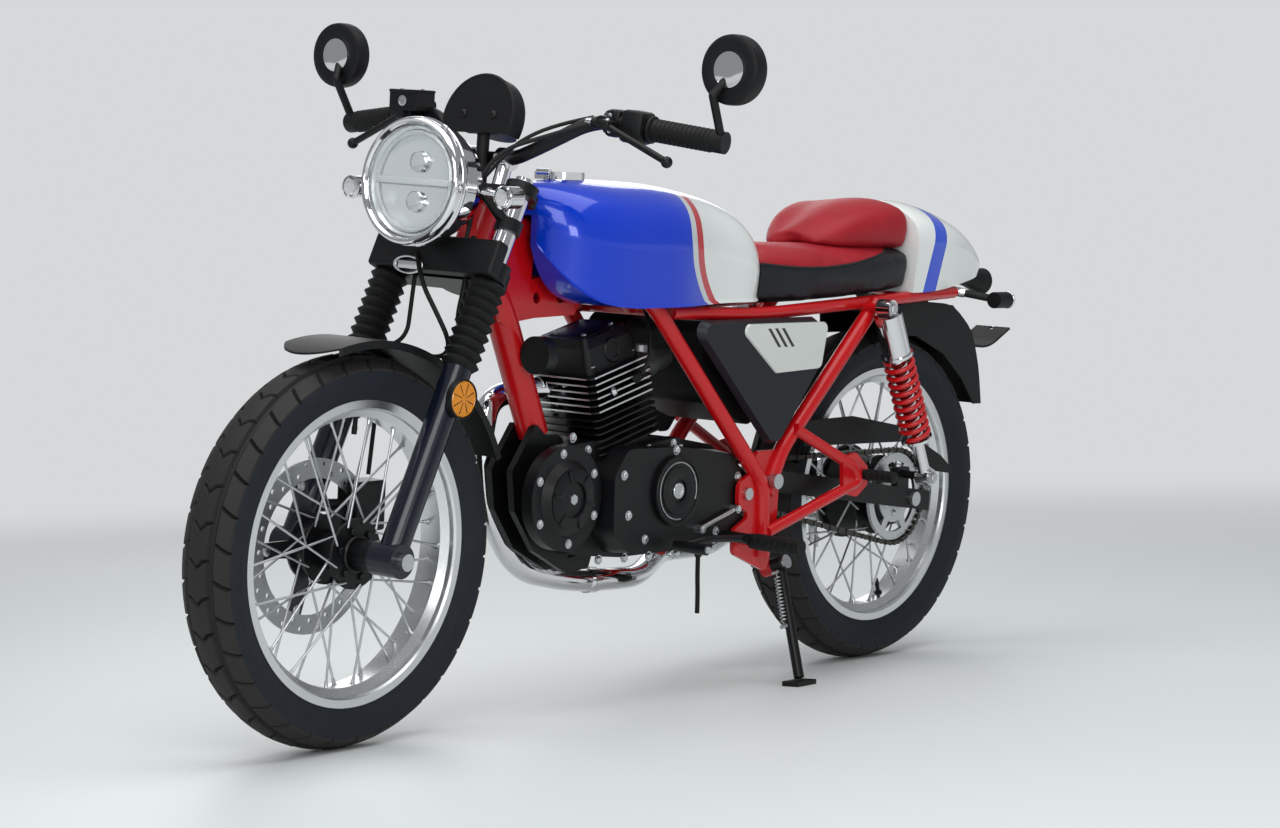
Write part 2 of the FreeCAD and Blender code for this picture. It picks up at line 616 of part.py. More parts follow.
def frame():
    top = axis_point(top_clamp_s() - seat_gap)
    low = axis_point(low_clamp_s() + low_clamp_h + seat_gap)
    parts = [rod(low, top, head_tube_r), tube(places(backbone_shares), backbone_r),
             tube(places(downtube_shares), downtube_r)]
    for side in (1, -1):
        parts += frame_side(side)
    for share in (low_cross_share, mid_cross_share, tail_cross_share):
        p = place(share)
        parts.append(rod_y(at_y(p, 0), p.y, cross_r if share[2] < 0.5 else rail_r))
    parts += stand_lug()
    solid = fused(parts)
    bore = rod(low - axis_dir() * over, top + axis_dir() * over, stem_r + seat_gap)
    below = rod(low - axis_dir() * over, low, head_tube_r + stem_r)
    above = rod(top, top + axis_dir() * over, head_tube_r + stem_r)
    pivot = rod_y(place(pivot_share), frame_half_w + over, pivot_bolt_r + seat_gap)
    bolt = rod_y(place(engine_bolt_share), frame_half_w + over, engine_bolt_r + seat_gap)
    stand_hole = rod(place(stand_share) - stand_axis() * over, place(stand_share) + stand_axis() * over,
                     stand_pin_r + seat_gap)
    return biggest(solid.cut([bore, below, above, pivot, bolt, stand_hole]))


def frame_side(side):
    # the plates, tubes and studs that come once on each side
    plate_y, steady_y = backbone_r * 0.7, backbone_r * 0.45
    steady = side_plate(steady_shares, side * steady_y, side * gusset_t, gusset_t)
    holes = [rod_y(flat_place(s, 0), over, steady_hole_r) for s in steady_hole_shares]
    inner = frame_half_w - plate_t if side > 0 else -frame_half_w
    tip_y = side * loop_shares[1][1] * frame_half_w
    shock_top = at_y(place(shock_top_share), side * (frame_half_w + shock_y) / 2)
    peg = at_y(place(peg_share), side * (frame_half_w + peg_y) / 2 - side * flange_t / 2)
    return [side_plate(gusset_shares, side * plate_y, side * gusset_t, gusset_t), steady.cut(holes),
            tube(places(seat_tube_shares, side), seat_tube_r, 0.2),
            tube(places(seat_rail_shares, side), rail_r, 0.3),
            tube(places(rear_rail_shares, side), seat_tube_r, 0.3),
            tube(places(loop_shares, side), loop_r),
            shifted(side_plate(loop_plate_shares, tip_y, plate_t, loop_r), V(0, -plate_t / 2, 0)),
            side_plate(plate_shares, inner, plate_t, seat_tube_r),
            rod_y(shock_top, (shock_y - frame_half_w + shock_eye_w + flange_t) / 2, stud_r),
            rod_y(peg, (peg_y - frame_half_w + flange_t) / 2, peg_pin_r)]


def stand_lug():
    # the stand's boss, carried by a short bar from the lower cross tube
    p, a = place(stand_share), stand_axis()
    inner = p - a * plate_t * 1.1
    root = at_y(place(low_cross_share), inner.y)
    return [rod(p - a * plate_t * 2, p + a * plate_t, stand_eye_r), rod(root, inner, stand_lug_r)]


def arm(side):
    front = at_y(place(pivot_share), side * arm_front_y)
    rear = V(0, side * arm_rear_y, rear_r)
    past = rear - front
    past.normalize()
    front = front - past * pivot_tube_r * 0.6
    tail = rear + past * arm_tail

    def section(p, h):
        a, b = V(0, arm_w / 2, 0), V(0, 0, h / 2)
        pts = [p - a - b, p + a - b, p + a + b, p - a + b]
        return Part.makePolygon(pts + [pts[0]])

    return Part.makeLoft([section(front, arm_front_h), section(tail, arm_rear_h)], True, True)


def swingarm():
    pivot, foot = place(pivot_share), place(shock_foot_share)
    inside = frame_half_w - seat_tube_r - 2 * seat_gap
    parts = [rod_y(pivot, inside, pivot_tube_r), rod_y(place(arm_cross_share), arm_front_y, arm_cross_r)]
    mid_y = (arm_rear_y + shock_y) / 2
    lug_h = arm_rear_h + stud_r + flange_t
    for side in (1, -1):
        parts.append(arm(side))
        parts.append(rod_y(at_y(foot, side * mid_y), (shock_y - arm_rear_y + shock_eye_w + flange_t) / 2, stud_r))
        lug_mid = at_y(foot, side * arm_rear_y) + Z * (stud_r + flange_t - lug_h / 2)
        parts.append(box_at(lug_mid, arm_rear_h, arm_w * 0.6, lug_h))
    cuts = [rod_y(pivot, frame_half_w + over, pivot_bolt_r + seat_gap),
            rod_y(V(0, 0, rear_r), frame_half_w + over, rear_axle_r + seat_gap)]
    for side in (1, -1):
        outer = V(0, side * axle_face_y(), rear_r)
        cuts.append(rod(outer, outer + Y * (side * over), axle_nut_r + run_gap))
        inner = V(0, side * (arm_rear_y - arm_w * 0.4), rear_r)
        cuts.append(rod(inner, inner - Y * (side * over), hub_nose_r + run_gap))
    return fused(parts).cut(cuts)


def axle_face_y():
    # flat outer seat of the axle nuts on the arms, a little inside their outer faces
    return arm_rear_y + arm_w * 0.4


def rear_axle():
    end = axle_face_y() + seat_gap
    parts = [rod_y(V(0, 0, rear_r), end + axle_nut_l, rear_axle_r)]
    for side in (1, -1):
        parts.append(rod_y(V(0, side * (end + axle_nut_l / 2), rear_r), axle_nut_l / 2, axle_nut_r))
    return fused(parts)


def pivot_bolt():
    end = frame_half_w + seat_tube_r
    parts = [rod_y(place(pivot_share), end + axle_nut_l, pivot_bolt_r)]
    for side in (1, -1):
        mid = at_y(place(pivot_share), side * (end + axle_nut_l / 2))
        parts.append(rod_y(mid, axle_nut_l / 2, axle_nut_r))
    return fused(parts)


def engine_bolt(side):
    # rear mounting bolt, through the frame plate into the engine
    mid = place(engine_bolt_share)
    head_y = frame_half_w + seat_gap
    shank = rod(at_y(mid, side * (head_y - axle_nut_l * 2)), at_y(mid, side * head_y), engine_bolt_r)
    return shank.fuse(rod(at_y(mid, side * head_y), at_y(mid, side * (head_y + axle_nut_l / 2)), axle_nut_r * 0.8))


def brake_plate():
    w = rear_hub_half_w
    inner = -(w - 2 * flange_t) - run_gap
    lip = -arm_rear_y + arm_w * 0.4 + seat_gap
    prof = [(rear_axle_r + seat_gap, inner), (rear_drum_r - flange_t - run_gap, inner),
            (rear_drum_r - flange_t - run_gap, -w - flange_t), (hub_nose_r, -w - 2 * flange_t), (hub_nose_r, lip),
            (rear_axle_r + seat_gap, lip)]
    return spin_face(prof)


def chain_guard(arm_solid):
    # a plate beside the chain with a roof over its upper run and posts on the arm
    y = chain_guard_y
    parts = [side_plate(chain_guard_shares, y, chain_guard_t, flange_t)]
    roof_w = y - chain_y + chain_half_w
    crest = [flat_place(s, y) for s in chain_guard_shares[:4]]
    crest = [p - Z * chain_guard_t for p in crest]
    for a, b in zip(crest[:-1], crest[1:]):
        along = (b - a) * 0.06
        face = Part.Face(Part.makePolygon([a + along, b - along * 0.2, b - along * 0.2 - Z * chain_guard_t,
                                           a + along - Z * chain_guard_t, a + along]))
        parts.append(shifted(face.extrude(Y * -roof_w), Y * (chain_guard_t / 2)))
    for x_share in chain_guard_post_shares:
        x = x_share * head_point().x
        post = Part.makeBox(2 * chain_guard_post, 3 * chain_guard_t, 2 * over, V(x, y, rear_r + arm_rear_h / 3))
        parts.append(post)
    return biggest(fused(parts).cut(arm_solid))


def shock_line(share, side):
    top, foot = at_y(place(shock_top_share), side * shock_y), at_y(place(shock_foot_share), side * shock_y)
    return foot + (top - foot) * share


def shock(side):
    top, foot = shock_line(1.0, side), shock_line(0.0, side)
    up = top - foot
    up.normalize()
    parts = [rod_y(p, shock_eye_w / 2, shock_eye_r) for p in (top, foot)]
    low_seat, high_seat = shock_line(spring_foot_share, side), shock_line(spring_top_share, side)
    seat_r = spring_r + spring_wire_r
    parts.append(rod(foot, low_seat, shock_rod_r))
    parts.append(rod(low_seat - up * flange_t, low_seat, seat_r))
    parts.append(rod(low_seat, high_seat, shock_body_r - flange_t))
    parts.append(rod(high_seat, high_seat + up * flange_t, seat_r))
    parts.append(rod(high_seat, top - up * shock_eye_r * 0.8, shock_can_r))
    holes = [rod_y(p, shock_eye_w + over, stud_r + seat_gap) for p in (top, foot)]
    return fused(parts).cut(holes)


def spring(side):
    # open coils between the two collars
    low, high = shock_line(spring_foot_share, side), shock_line(spring_top_share, side)
    up = high - low
    height = up.Length - 2 * spring_wire_r - 2 * seat_gap
    helix = Part.makeHelix(height / spring_turns, height, spring_r)
    start = Part.Wire(Part.makeCircle(spring_wire_r, V(spring_r, 0, 0), Y))
    coil = Part.Wire(helix).makePipeShell([start], True, True)
    coil.translate(V(0, 0, spring_wire_r + seat_gap))
    coil.Placement = FreeCAD.Placement(low, FreeCAD.Rotation(Z, up)).multiply(coil.Placement)
    return coil


def tilted(shape):
    base = place(cyl_base_share)
    return turned(shifted(shape, base), base, Y, cyl_tilt_deg)


def slab(z, height, half_x, half_y, r):
    pts = [V(-half_x, -half_y, z), V(half_x, -half_y, z), V(half_x, half_y, z), V(-half_x, half_y, z)]
    return rounded_face(pts, r).extrude(Z * height)


def crankcase(others):
    body = shifted(side_plate(case_shares, 0, 2 * case_half_w, case_round), V(0, -case_half_w, 0))
    neck = tilted(slab(-barrel_r, barrel_r, barrel_r + flange_t, barrel_r + flange_t, fin_round))
    lug = rod_y(place(downtube_shares[-1]) - V(downtube_r, 0, downtube_r), downtube_r, downtube_r)
    ear = place(engine_bolt_share)
    ear_rod = rod(at_y(ear, -case_half_w / 2), at_y(ear, plate_t + seat_gap - frame_half_w), ear_r)
    mounts = [side_plate(mount_shares, side * mount_y, side * mount_t, mount_round) for side in (1, -1)]
    carried = [ear_rod, front_sprocket(), hose_stub()] + mounts
    solid = fused([body, neck, lug]).fuse(carried)
    for other in others:
        solid = solid.cut(other)
    return biggest(solid)


def hose_stub():
    # a short bent stub at the gearbox, pointing down
    end = hose_route[0] + Z * seat_gap
    corner = end + Z * stub_r * 2
    inward = at_y(corner, 0) + Z * stub_r * 4
    return fused([rod(end, corner + Z * stub_r * 1.5, stub_r), rod(corner, inward, stub_r * 0.7)])


def front_sprocket():
    c = place(front_sprocket_share)
    r = pitch_radius(front_teeth) - chain_half_h - seat_gap
    return rod(at_y(c, case_half_w / 2), at_y(c, chain_y + sprocket_t), r)


def chain_pocket():
    # room around the chain inside the left cover
    start = case_half_w - run_gap
    deep = chain_y + chain_half_w + chain_room / 2 - start
    room = chain_face(chain_half_h + chain_room).extrude(Y * deep)
    return shifted(room, Y * (start - chain_y))


def finned_stack(base_z, height, core_r):
    parts = [Part.makeCylinder(core_r, height, V(0, 0, base_z), Z)]
    for i in range(int(height // fin_pitch)):
        z = base_z + fin_pitch * (i + 1) - fin_t
        parts.append(slab(z, fin_t, fin_half_x, fin_half_y, fin_round))
    return parts


def cylinder():
    return tilted(fused(finned_stack(0, barrel_h, barrel_r)))


def rocker_box():
    # the tall cover on top of the head, narrower above
    z = barrel_h + head_fin_h
    wires = []
    for height, share in ((0, 1.0), (rocker_h * 0.75, 1 - rocker_taper_share * 0.3),
                          (rocker_h, 1 - rocker_taper_share)):
        half_x, half_y = rocker_half_x * share, rocker_half_y * share
        pts = [V(-half_x, -half_y, z + height), V(half_x, -half_y, z + height), V(half_x, half_y, z + height),
               V(-half_x, half_y, z + height)]
        wires.append(rounded_face(pts, rocker_round * share).OuterWire)
    return Part.makeLoft(wires, True, True)


def cylinder_head():
    return tilted(fused(finned_stack(barrel_h, head_fin_h, barrel_r) + [rocker_box()]))


def left_cover():
    y = case_half_w
    face_y = y + left_cover_t
    ring_at = place(ring_cover_share)
    parts = [tapered_plate(left_cover_shares, y, left_cover_t, left_cover_round, cover_taper_share),
             rod(at_y(ring_at, face_y - flange_t), at_y(ring_at, face_y + ring_cover_t), ring_cover_r),
             side_plate(sensor_shares, y, left_cover_t / 2, sensor_t)]
    ear = place(engine_bolt_share)
    parts.append(rod(at_y(ear, face_y - flange_t), at_y(ear, frame_half_w - plate_t - seat_gap), ear_r * 0.8))
    return biggest(fused(parts).cut([chain_pocket(), engine_bolt(1)]))


def alternator(cover):
    at, y = place(alternator_share), case_half_w
    drum = rod(at_y(at, y), at_y(at, y + alternator_t), alternator_r)
    top_y = y + alternator_t
    dome = cone(at_y(at, top_y), at_y(at, top_y + alternator_dome_t), alternator_dome_r, alternator_dome_r * 0.8)
    return biggest(fused([drum, dome]).cut(cover))


def right_cover():
    y = -case_half_w
    at = place(clutch_share)
    plate = tapered_plate(right_cover_shares, y, -right_cover_t, left_cover_round, cover_taper_share)
    face_y = y - right_cover_t
    return plate.fuse(rod(at_y(at, face_y + flange_t), at_y(at, face_y - clutch_t), clutch_r)).removeSplitter()


def airbox():
    return shifted(side_plate(airbox_shares, 0, 2 * airbox_half_w, case_round), V(0, -airbox_half_w, 0))


def carburettor(others):
    port = V(-fin_half_x * 0.8, 0, barrel_h + head_fin_h / 2)
    a = place(cyl_base_share) + FreeCAD.Rotation(Y, cyl_tilt_deg).multVec(port)
    b = place(boot_share)
    mid = (a + b) * 0.5
    d = b - a
    d.normalize()
    parts = [rod(a, b + d * over / 2, carb_r * 0.8), rod(mid - d * carb_l / 3, mid + d * carb_l / 3, carb_r),
             rod(mid - Z * carb_r * 1.8, mid + Z * carb_r * 1.4, carb_r * 0.75)]
    return biggest(fused(parts).cut(others))


def header(others):
    pts = places(header_shares)
    pipe = tube(pts, pipe_r, 0.42)
    along = pts[7] - pts[6]
    low = pts[6] + along * pipe_clamp_share
    along.normalize()
    collar = rod(low - along * pipe_clamp_w / 2, low + along * pipe_clamp_w / 2, pipe_r + pipe_clamp_t)
    return biggest(pipe.fuse(collar).removeSplitter().cut(others))


def muffler():
    a, b = places(muffler_shares)
    neck, shoulder = a + (b - a) * muffler_neck_share, b - (b - a) * muffler_tail_share
    out = b - a
    out.normalize()
    parts = [cone(a, neck, pipe_r + flange_t, muffler_r), rod(neck, shoulder, muffler_r),
             cone(shoulder, b, muffler_r, muffler_tip_r)]
    tail_run = places(header_shares)[-2:]
    hollow = rod(b - out * tip_depth, b + out * over, muffler_tip_r - flange_t)
    hang_y = -(loop_shares[1][1] * frame_half_w + loop_r + seat_gap)
    hang = at_y(place(hanger_share), hang_y - plate_t / 2)
    near = a + out * (hang - a).dot(out)
    strap = [rod(near, hang, loop_r * 0.8), rod_y(hang, plate_t / 2, loop_r)]
    return fused(parts + strap).cut([hollow, rod(tail_run[0], tail_run[1], pipe_r + seat_gap)])


def header_stay(others):
    # a thin second pipe from the engine down to the exhaust
    return biggest(tube(places(stay_shares), stay_r, 0.4).cut(others))


def hoop(x, half_w, z_low, z_shoulder, z_top, lip):
    # one closed section across the bodywork, flat below and crowned above; lip is the
    # height of the seam flange along its lower edge
    low_w = half_w if lip else half_w * 0.92
    side_low, lip_top = V(x, low_w, z_low), V(x, low_w * tank_lip_share, z_low + lip)
    side = V(x, half_w, z_shoulder)
    left = [side_low, lip_top, side] if lip else [side_low, side]
    right = [V(p.x, -p.y, p.z) for p in reversed(left)]
    crown_l = V(x, half_w * 0.72, z_shoulder + (z_top - z_shoulder) * 0.78)
    crown_r = V(x, -half_w * 0.72, crown_l.z)
    top = V(x, 0, z_top)
    edges = [Part.LineSegment(a, b).toShape() for a, b in zip(left[:-1], left[1:])]
    curve = Part.BSplineCurve()
    curve.interpolate([side, crown_l, top, crown_r, right[0]], InitialTangent=Z, FinalTangent=Z * -1)
    edges.append(curve.toShape())
    edges += [Part.LineSegment(a, b).toShape() for a, b in zip(right[:-1], right[1:])]
    edges.append(Part.LineSegment(right[-1], left[0]).toShape())
    return Part.Wire(edges)


def body_loft(shares, half_w, lip=0.0):
    # each row is a station along, its half width, underside, shoulder (if given) and top
    head = head_point()
    hoops = []
    for row in shares:
        low, top = row[2], row[-1]
        shoulder = row[3] if len(row) == 5 else low + (top - low) * 0.55
        hoops.append(hoop(row[0] * head.x, row[1] * half_w, low * head.z, shoulder * head.z, top * head.z, lip))
    return Part.makeLoft(hoops, True, False)


def fuel_tank(frame_solid):
    body = body_loft(tank_shares, tank_half_w, tank_lip_h)
    spine = places(backbone_shares)
    rise = backbone_r + seat_gap
    rear_x, low_z = place(tank_shares[0]).x - over, spine[-1].z - over
    front_x = spine[0].x + over
    pts = [V(rear_x, 0, low_z), V(front_x, 0, low_z), V(front_x, 0, spine[0].z + rise),
           V(spine[1].x, 0, spine[1].z + rise), V(spine[2].x, 0, spine[2].z + rise),
           V(spine[3].x - rise, 0, spine[3].z + rise), V(rear_x, 0, spine[3].z)]
    tunnel = Part.Face(Part.makePolygon(pts + [pts[0]])).extrude(Y * (2 * tunnel_half_w))
    cap = place(cap_share)
    cap_seat = Part.makeCylinder(cap_neck_r + seat_gap, over, cap - Z * cap_sink, Z)
    return biggest(body.cut([shifted(tunnel, Y * -tunnel_half_w), cap_seat]).cut(frame_solid))


def fuel_cap(tank_solid):
    cap = place(cap_share)
    lid = Part.makeCylinder(cap_r, cap_t, cap + Z * seat_gap, Z)
    neck = Part.makeCylinder(cap_neck_r, cap_sink + cap_t / 2, cap + Z * (seat_gap - cap_sink), Z)
    hinge = rod_y(cap + X * (cap_r - cap_hinge_r / 2) + Z * cap_t, cap_neck_r / 2, cap_hinge_r)
    return biggest(fused([lid, neck, hinge]).cut(tank_solid))


def side_covers(frame_solid):
    made = []
    for side in (1, -1):
        plate = tapered_plate(cover_shares, side * cover_y, side * cover_t, cover_round, cover_edge_share)
        made.append(biggest(plate.cut(frame_solid)))
    return made


def side_panels():
    y = cover_y + cover_t + seat_gap
    return [tapered_plate(panel_shares, side * y, side * panel_t, panel_round, cover_edge_share / 2)
            for side in (1, -1)]


def arc_guard(centre, r, t, half_w, from_deg, to_deg):
    # a curved sheet with turned-down edges, around a wheel
    sheet = [(r, -half_w), (r + t, -half_w), (r + t, half_w), (r, half_w)]
    outlines = [sheet]
    for side in (1, -1):
        y = side * half_w
        outlines.append([(r - 3 * t, y), (r + t, y), (r + t, y - side * t), (r - 3 * t, y - side * t)])
    solids = []
    for outline in outlines:
        pts = [V(a, b, 0) for a, b in outline]
        face = Part.Face(Part.makePolygon(pts + [pts[0]]))
        solids.append(face.revolve(V(0, 0, 0), Y, -(to_deg - from_deg)))
    solid = turned(fused(solids), V(0, 0, 0), Y, -from_deg)
    return shifted(solid, centre)


def strip(points, width, t):
    # a flat sheet that follows a bent path seen from the side
    start = points[0]
    along = points[1] - points[0]
    along.normalize()
    n = along.cross(Y) * (t / 2)
    w = Y * (width / 2)
    ring_pts = [start - n - w, start - n + w, start + n + w, start + n - w]
    ring_wire = Part.makePolygon(ring_pts + [ring_pts[0]])
    if len(points) == 2:
        return Part.Face(ring_wire).extrude(points[1] - points[0])
    return corner_path(points, 0.4).makePipeShell([ring_wire], True, True)


def rear_guard(others):
    # a deep mudguard: a bent sheet, two side walls, the arm of the number plate and a
    # hanger under the tail
    body = strip(places(guard_shares), 2 * guard_half_w, guard_t)
    outer = [flat_place((s[0], s[2]), 0) for s in guard_shares]
    inner = [flat_place(s, 0) for s in guard_inner_shares]
    walls = []
    for side in (1, -1):
        y = side * (guard_half_w - guard_t)
        face = Part.Face(Part.makePolygon([at_y(p, y) for p in outer + inner] + [at_y(outer[0], y)]))
        walls.append(face.extrude(Y * (side * guard_t)))
    arm_sheet = strip(places(plate_arm_shares), plate_arm_w, guard_t)
    hole = Part.makeCylinder(plate_hole_r, 2 * over, place(plate_arm_shares[-1]) + V(plate_hole_r, 0, -over), Z)
    tail = place(tail_cross_share)
    sheet_z = place(guard_shares[2]).z
    hanger = Part.makeBox(guard_hanger_l, guard_hanger_w, tail.z - sheet_z,
                          V(tail.x - guard_hanger_l / 2, -guard_hanger_w / 2, sheet_z))
    return biggest(fused([body, arm_sheet, hanger] + walls).cut(others + [hole]))


def tail_lamp(others):
    # a black cone under the tail with its lens at the rear
    a, b, c = places(lamp_shares)
    return biggest(fused([cone(b, c, lamp_root_r, lamp_face_r), rod(a, b, lamp_root_r)]).cut(others))


def rear_blinker(side, others):
    tip = at_y(place(rear_blinker_share), side * rear_blinker_y)
    root = at_y(tip, side * guard_half_w) + V(blinker_l, 0, blinker_r)
    head = rod(tip - X * blinker_l * 0.6, tip + X * blinker_l * 0.4, blinker_r)
    return biggest(fused([rod(root, tip, blinker_stalk_r), head]).cut(others))


def fork_leg(side):
    parts = [rod(fork_point(0, side), fork_point(leg_l, side), leg_r),
             rod_y(fork_point(0, side), leg_foot_half_w, leg_foot_r)]
    bore = rod_y(fork_point(0, side), leg_foot_half_w + over, front_axle_r + seat_gap)
    return fused(parts).cut(bore)


def front_axle():
    end = fork_half_w + leg_foot_half_w + seat_gap
    mid = V(wheelbase, 0, front_r)
    parts = [rod_y(mid, end + axle_nut_l, front_axle_r)]
    for side in (1, -1):
        parts.append(rod_y(mid + Y * (side * (end + axle_nut_l / 2)), axle_nut_l / 2, axle_nut_r))
    return fused(parts)


def gaiter(side):
    # rubber bellows: a zigzag profile spun about the tube
    low = leg_l + seat_gap
    step = gaiter_l / gaiter_ribs
    prof = [V(tube_r + seat_gap, 0, 0), V(gaiter_waist_r, 0, 0)]
    for i in range(gaiter_ribs):
        prof.append(V(gaiter_r, 0, step * (i + 0.5)))
        prof.append(V(gaiter_waist_r, 0, step * (i + 1)))
    prof.append(V(tube_r + seat_gap, 0, gaiter_l))
    face = Part.Face(Part.makePolygon(prof + [prof[0]]))
    solid = face.revolve(V(0, 0, 0), Z, 360)
    solid.Placement = FreeCAD.Placement(fork_point(low, side), FreeCAD.Rotation(Z, axis_dir()))
    return solid


def fork_tube(side):
    top = fork_point(tube_l(), side)
    return fused([rod(fork_point(leg_l + seat_gap, side), top, tube_r),
                  rod(top, top + axis_dir() * cap_nut_h, cap_nut_r)])


def clamp(s, height):
    # one fork clamp: two sleeves, a web between them and the stem boss
    mid, back = fork_point(s, 0), axis_point(s)
    up = axis_dir() * height
    sleeves = [rod(fork_point(s, side), fork_point(s, side) + up, clamp_r) for side in (1, -1)]
    boss = rod(back, back + up, head_tube_r)
    rot = FreeCAD.Rotation(Y, -rake_deg)
    web = Part.makeBox(clamp_web_w, 2 * fork_half_w, height, V(-clamp_web_w / 2, -fork_half_w, 0))
    web.Placement = FreeCAD.Placement((mid + back) * 0.5, rot).multiply(web.Placement)
    return fused(sleeves + [boss, web])


def fork_clamps():
    low_s, top_s = low_clamp_s(), top_clamp_s()
    low, top = clamp(low_s, low_clamp_h), clamp(top_s, top_clamp_h)
    stem = rod(axis_point(low_s), head_point(), stem_r)
    nut = rod(head_point(), axis_point(tube_l() + cap_nut_h), head_tube_r - flange_t)
    bores = [rod(fork_point(leg_l, side), fork_point(tube_l() + over, side), tube_r + seat_gap) for side in (1, -1)]
    return fused([low, top, stem, nut]).cut(bores)


def fork_cover(clamps):
    # the shell over the lower clamp, its front face bare
    half = fork_half_w + clamp_r
    shell = Part.makeBox(cover_depth, 2 * half, cover_rise, V(cover_front - cover_depth, -half, 0))
    shell = shell.makeFillet(cover_depth / 4, shell.Edges)
    shell.Placement = FreeCAD.Placement(fork_point(low_clamp_s(), 0), FreeCAD.Rotation(Y, -rake_deg))
    bores = [rod(fork_point(leg_l, side), fork_point(tube_l() + over, side), clamp_r + seat_gap) for side in (1, -1)]
    return biggest(shell.cut([clamps] + bores))


def lamp_point():
    # the middle of the head lamp's front
    return fork_point(tube_l(), 0) + V(lamp_ahead, 0, lamp_rise)


def lamp_frame(shape):
    # from a lamp built around +X at the origin to its place on the machine
    return shifted(turned(shape, V(0, 0, 0), Y, -lamp_tilt_deg), lamp_point())


def headlamp_bowl():
    r = lamp_rim_r
    prof = [(0, lens_r + seat_gap), (bezel_r, lens_r + bezel_r), (bezel_r, r - bezel_r), (0, r),
            (-lamp_rim_t * 0.45, r), (-lamp_rim_t * 0.5, r - bezel_r), (-lamp_rim_t * 0.6, r - bezel_r),
            (-lamp_rim_t * 0.7, r), (-lamp_rim_t, r), (-lamp_rim_t - bezel_r, r - bezel_r),
            (-lamp_rim_t - lamp_bowl_l * 0.35, r * 0.93), (-lamp_rim_t - lamp_bowl_l * 0.62, r * 0.82),
            (-lamp_rim_t - lamp_bowl_l * 0.82, r * 0.64), (-lamp_rim_t - lamp_bowl_l * 0.95, r * 0.38),
            (-lamp_rim_t - lamp_bowl_l, 0), (-lamp_rim_t, 0), (-lamp_rim_t, lens_r + seat_gap)]
    pts = [V(x, y, 0) for x, y in prof]
    face = Part.Face(Part.makePolygon(pts + [pts[0]]))
    return lamp_frame(face.revolve(V(0, 0, 0), X, 360))


def headlamp_lens():
    # a shallow dome over a short drum
    dome_r = (lens_r ** 2 + lens_sag ** 2) / (2 * lens_sag)
    drum = Part.makeCylinder(lens_r, lamp_rim_t + lens_sag, V(seat_gap - lamp_rim_t, 0, 0), X)
    ball = Part.makeSphere(dome_r, V(lens_sag - dome_r, 0, 0))
    return lamp_frame(drum.common(ball))


def ear_ends(side):
    # a lamp ear runs from the fork tube to the side of the bowl
    root = fork_point(top_clamp_s() - 3 * top_clamp_h, side)
    tip = lamp_point() + V(-lamp_rim_t - lamp_bowl_l * 0.45, side * ear_half_w, 0)
    return root, tip


def lamp_ears(others):
    made = []
    for side in (1, -1):
        root, tip = ear_ends(side)
        collar = rod(root, root + axis_dir() * top_clamp_h, clamp_r - flange_t)
        reach = rod(root + axis_dir() * top_clamp_h / 2, tip, ear_bar_r)
        made.append(biggest(fused([collar, reach]).cut(others)))
    return made


def gauge(others):
    # a round instrument on a bracket from the top clamp, behind a half-round hood
    base = head_point() + V(gauge_ahead, 0, gauge_rise)
    body = turned(Part.makeCylinder(gauge_r, gauge_l, V(0, 0, 0), Z), V(0, 0, 0), Y, -(90 - gauge_tilt_deg) / 2)
    disc = Part.makeCylinder(hood_r, hood_t, V(0, 0, 0), X)
    wall = ring(V(-hood_depth, 0, 0), X, hood_r, hood_r - hood_t, hood_depth + hood_t / 2)
    low = Part.makeBox(2 * over, 4 * hood_r, 2 * hood_r, V(-over, -2 * hood_r, -2 * hood_r - hood_r / 3))
    shield = turned(disc.fuse(wall).cut(low), V(0, 0, 0), Y, -lamp_tilt_deg * 3)
    shield_at = V(gauge_r - hood_t, 0, hood_r / 3)
    foot = head_point() + across() * (fork_offset * 0.6)
    stem = rod(foot, base + X * gauge_r * 0.55 + Z * gauge_l / 4, fender_stay_r * 2)
    link = rod(base + Z * gauge_l / 2, base + shield_at + Z * gauge_l / 4, fender_stay_r * 2)
    whole = fused([shifted(body, base), shifted(shield, base + shield_at), stem, link])
    return biggest(whole.cut(others))


def bar_middle():
    return fork_point(tube_l(), 0) + V(-bar_back, 0, bar_up)


def bar_points(side):
    mid = bar_middle()
    return [mid + V(0, side * bar_mid_y, 0),
            mid + V(-bar_sweep / 3, side * bar_bend_y, bar_rise / 3),
            mid + V(-bar_sweep, side * bar_rise_y, bar_rise),
            mid + V(-bar_sweep - bar_pull, side * bar_end_y, bar_rise - bar_drop)]


def grip_line(side):
    pts = bar_points(side)
    d = pts[-1] - pts[-2]
    d.normalize()
    return pts[-1], d


def handlebar():
    return tube(list(reversed(bar_points(-1))) + bar_points(1), bar_r, 0.4)


def grip(side, bar_solid):
    end, d = grip_line(side)
    return rod(end - d * grip_l, end + d * seat_gap, grip_r).cut(bar_solid)


def risers(others):
    # two bar clamps, standing on the front half of the top clamp
    made = []
    for side in (1, -1):
        offset = Y * (side * bar_mid_y * 0.7)
        top = bar_middle() + offset
        foot = head_point() + across() * riser_r + offset
        made.append(rod_y(top, riser_w / 2, riser_r))
        made.append(rod(foot - axis_dir() * top_clamp_h / 2, top, riser_r * 0.7))
    solid = fused(made).cut(others)
    return [s for s in solid.Solids if s.Volume > riser_r ** 3]


def perch_line(side):
    end, d = grip_line(side)
    inner = end - d * (grip_l + seat_gap)
    return inner, d, inner - d * (switch_l + perch_l)


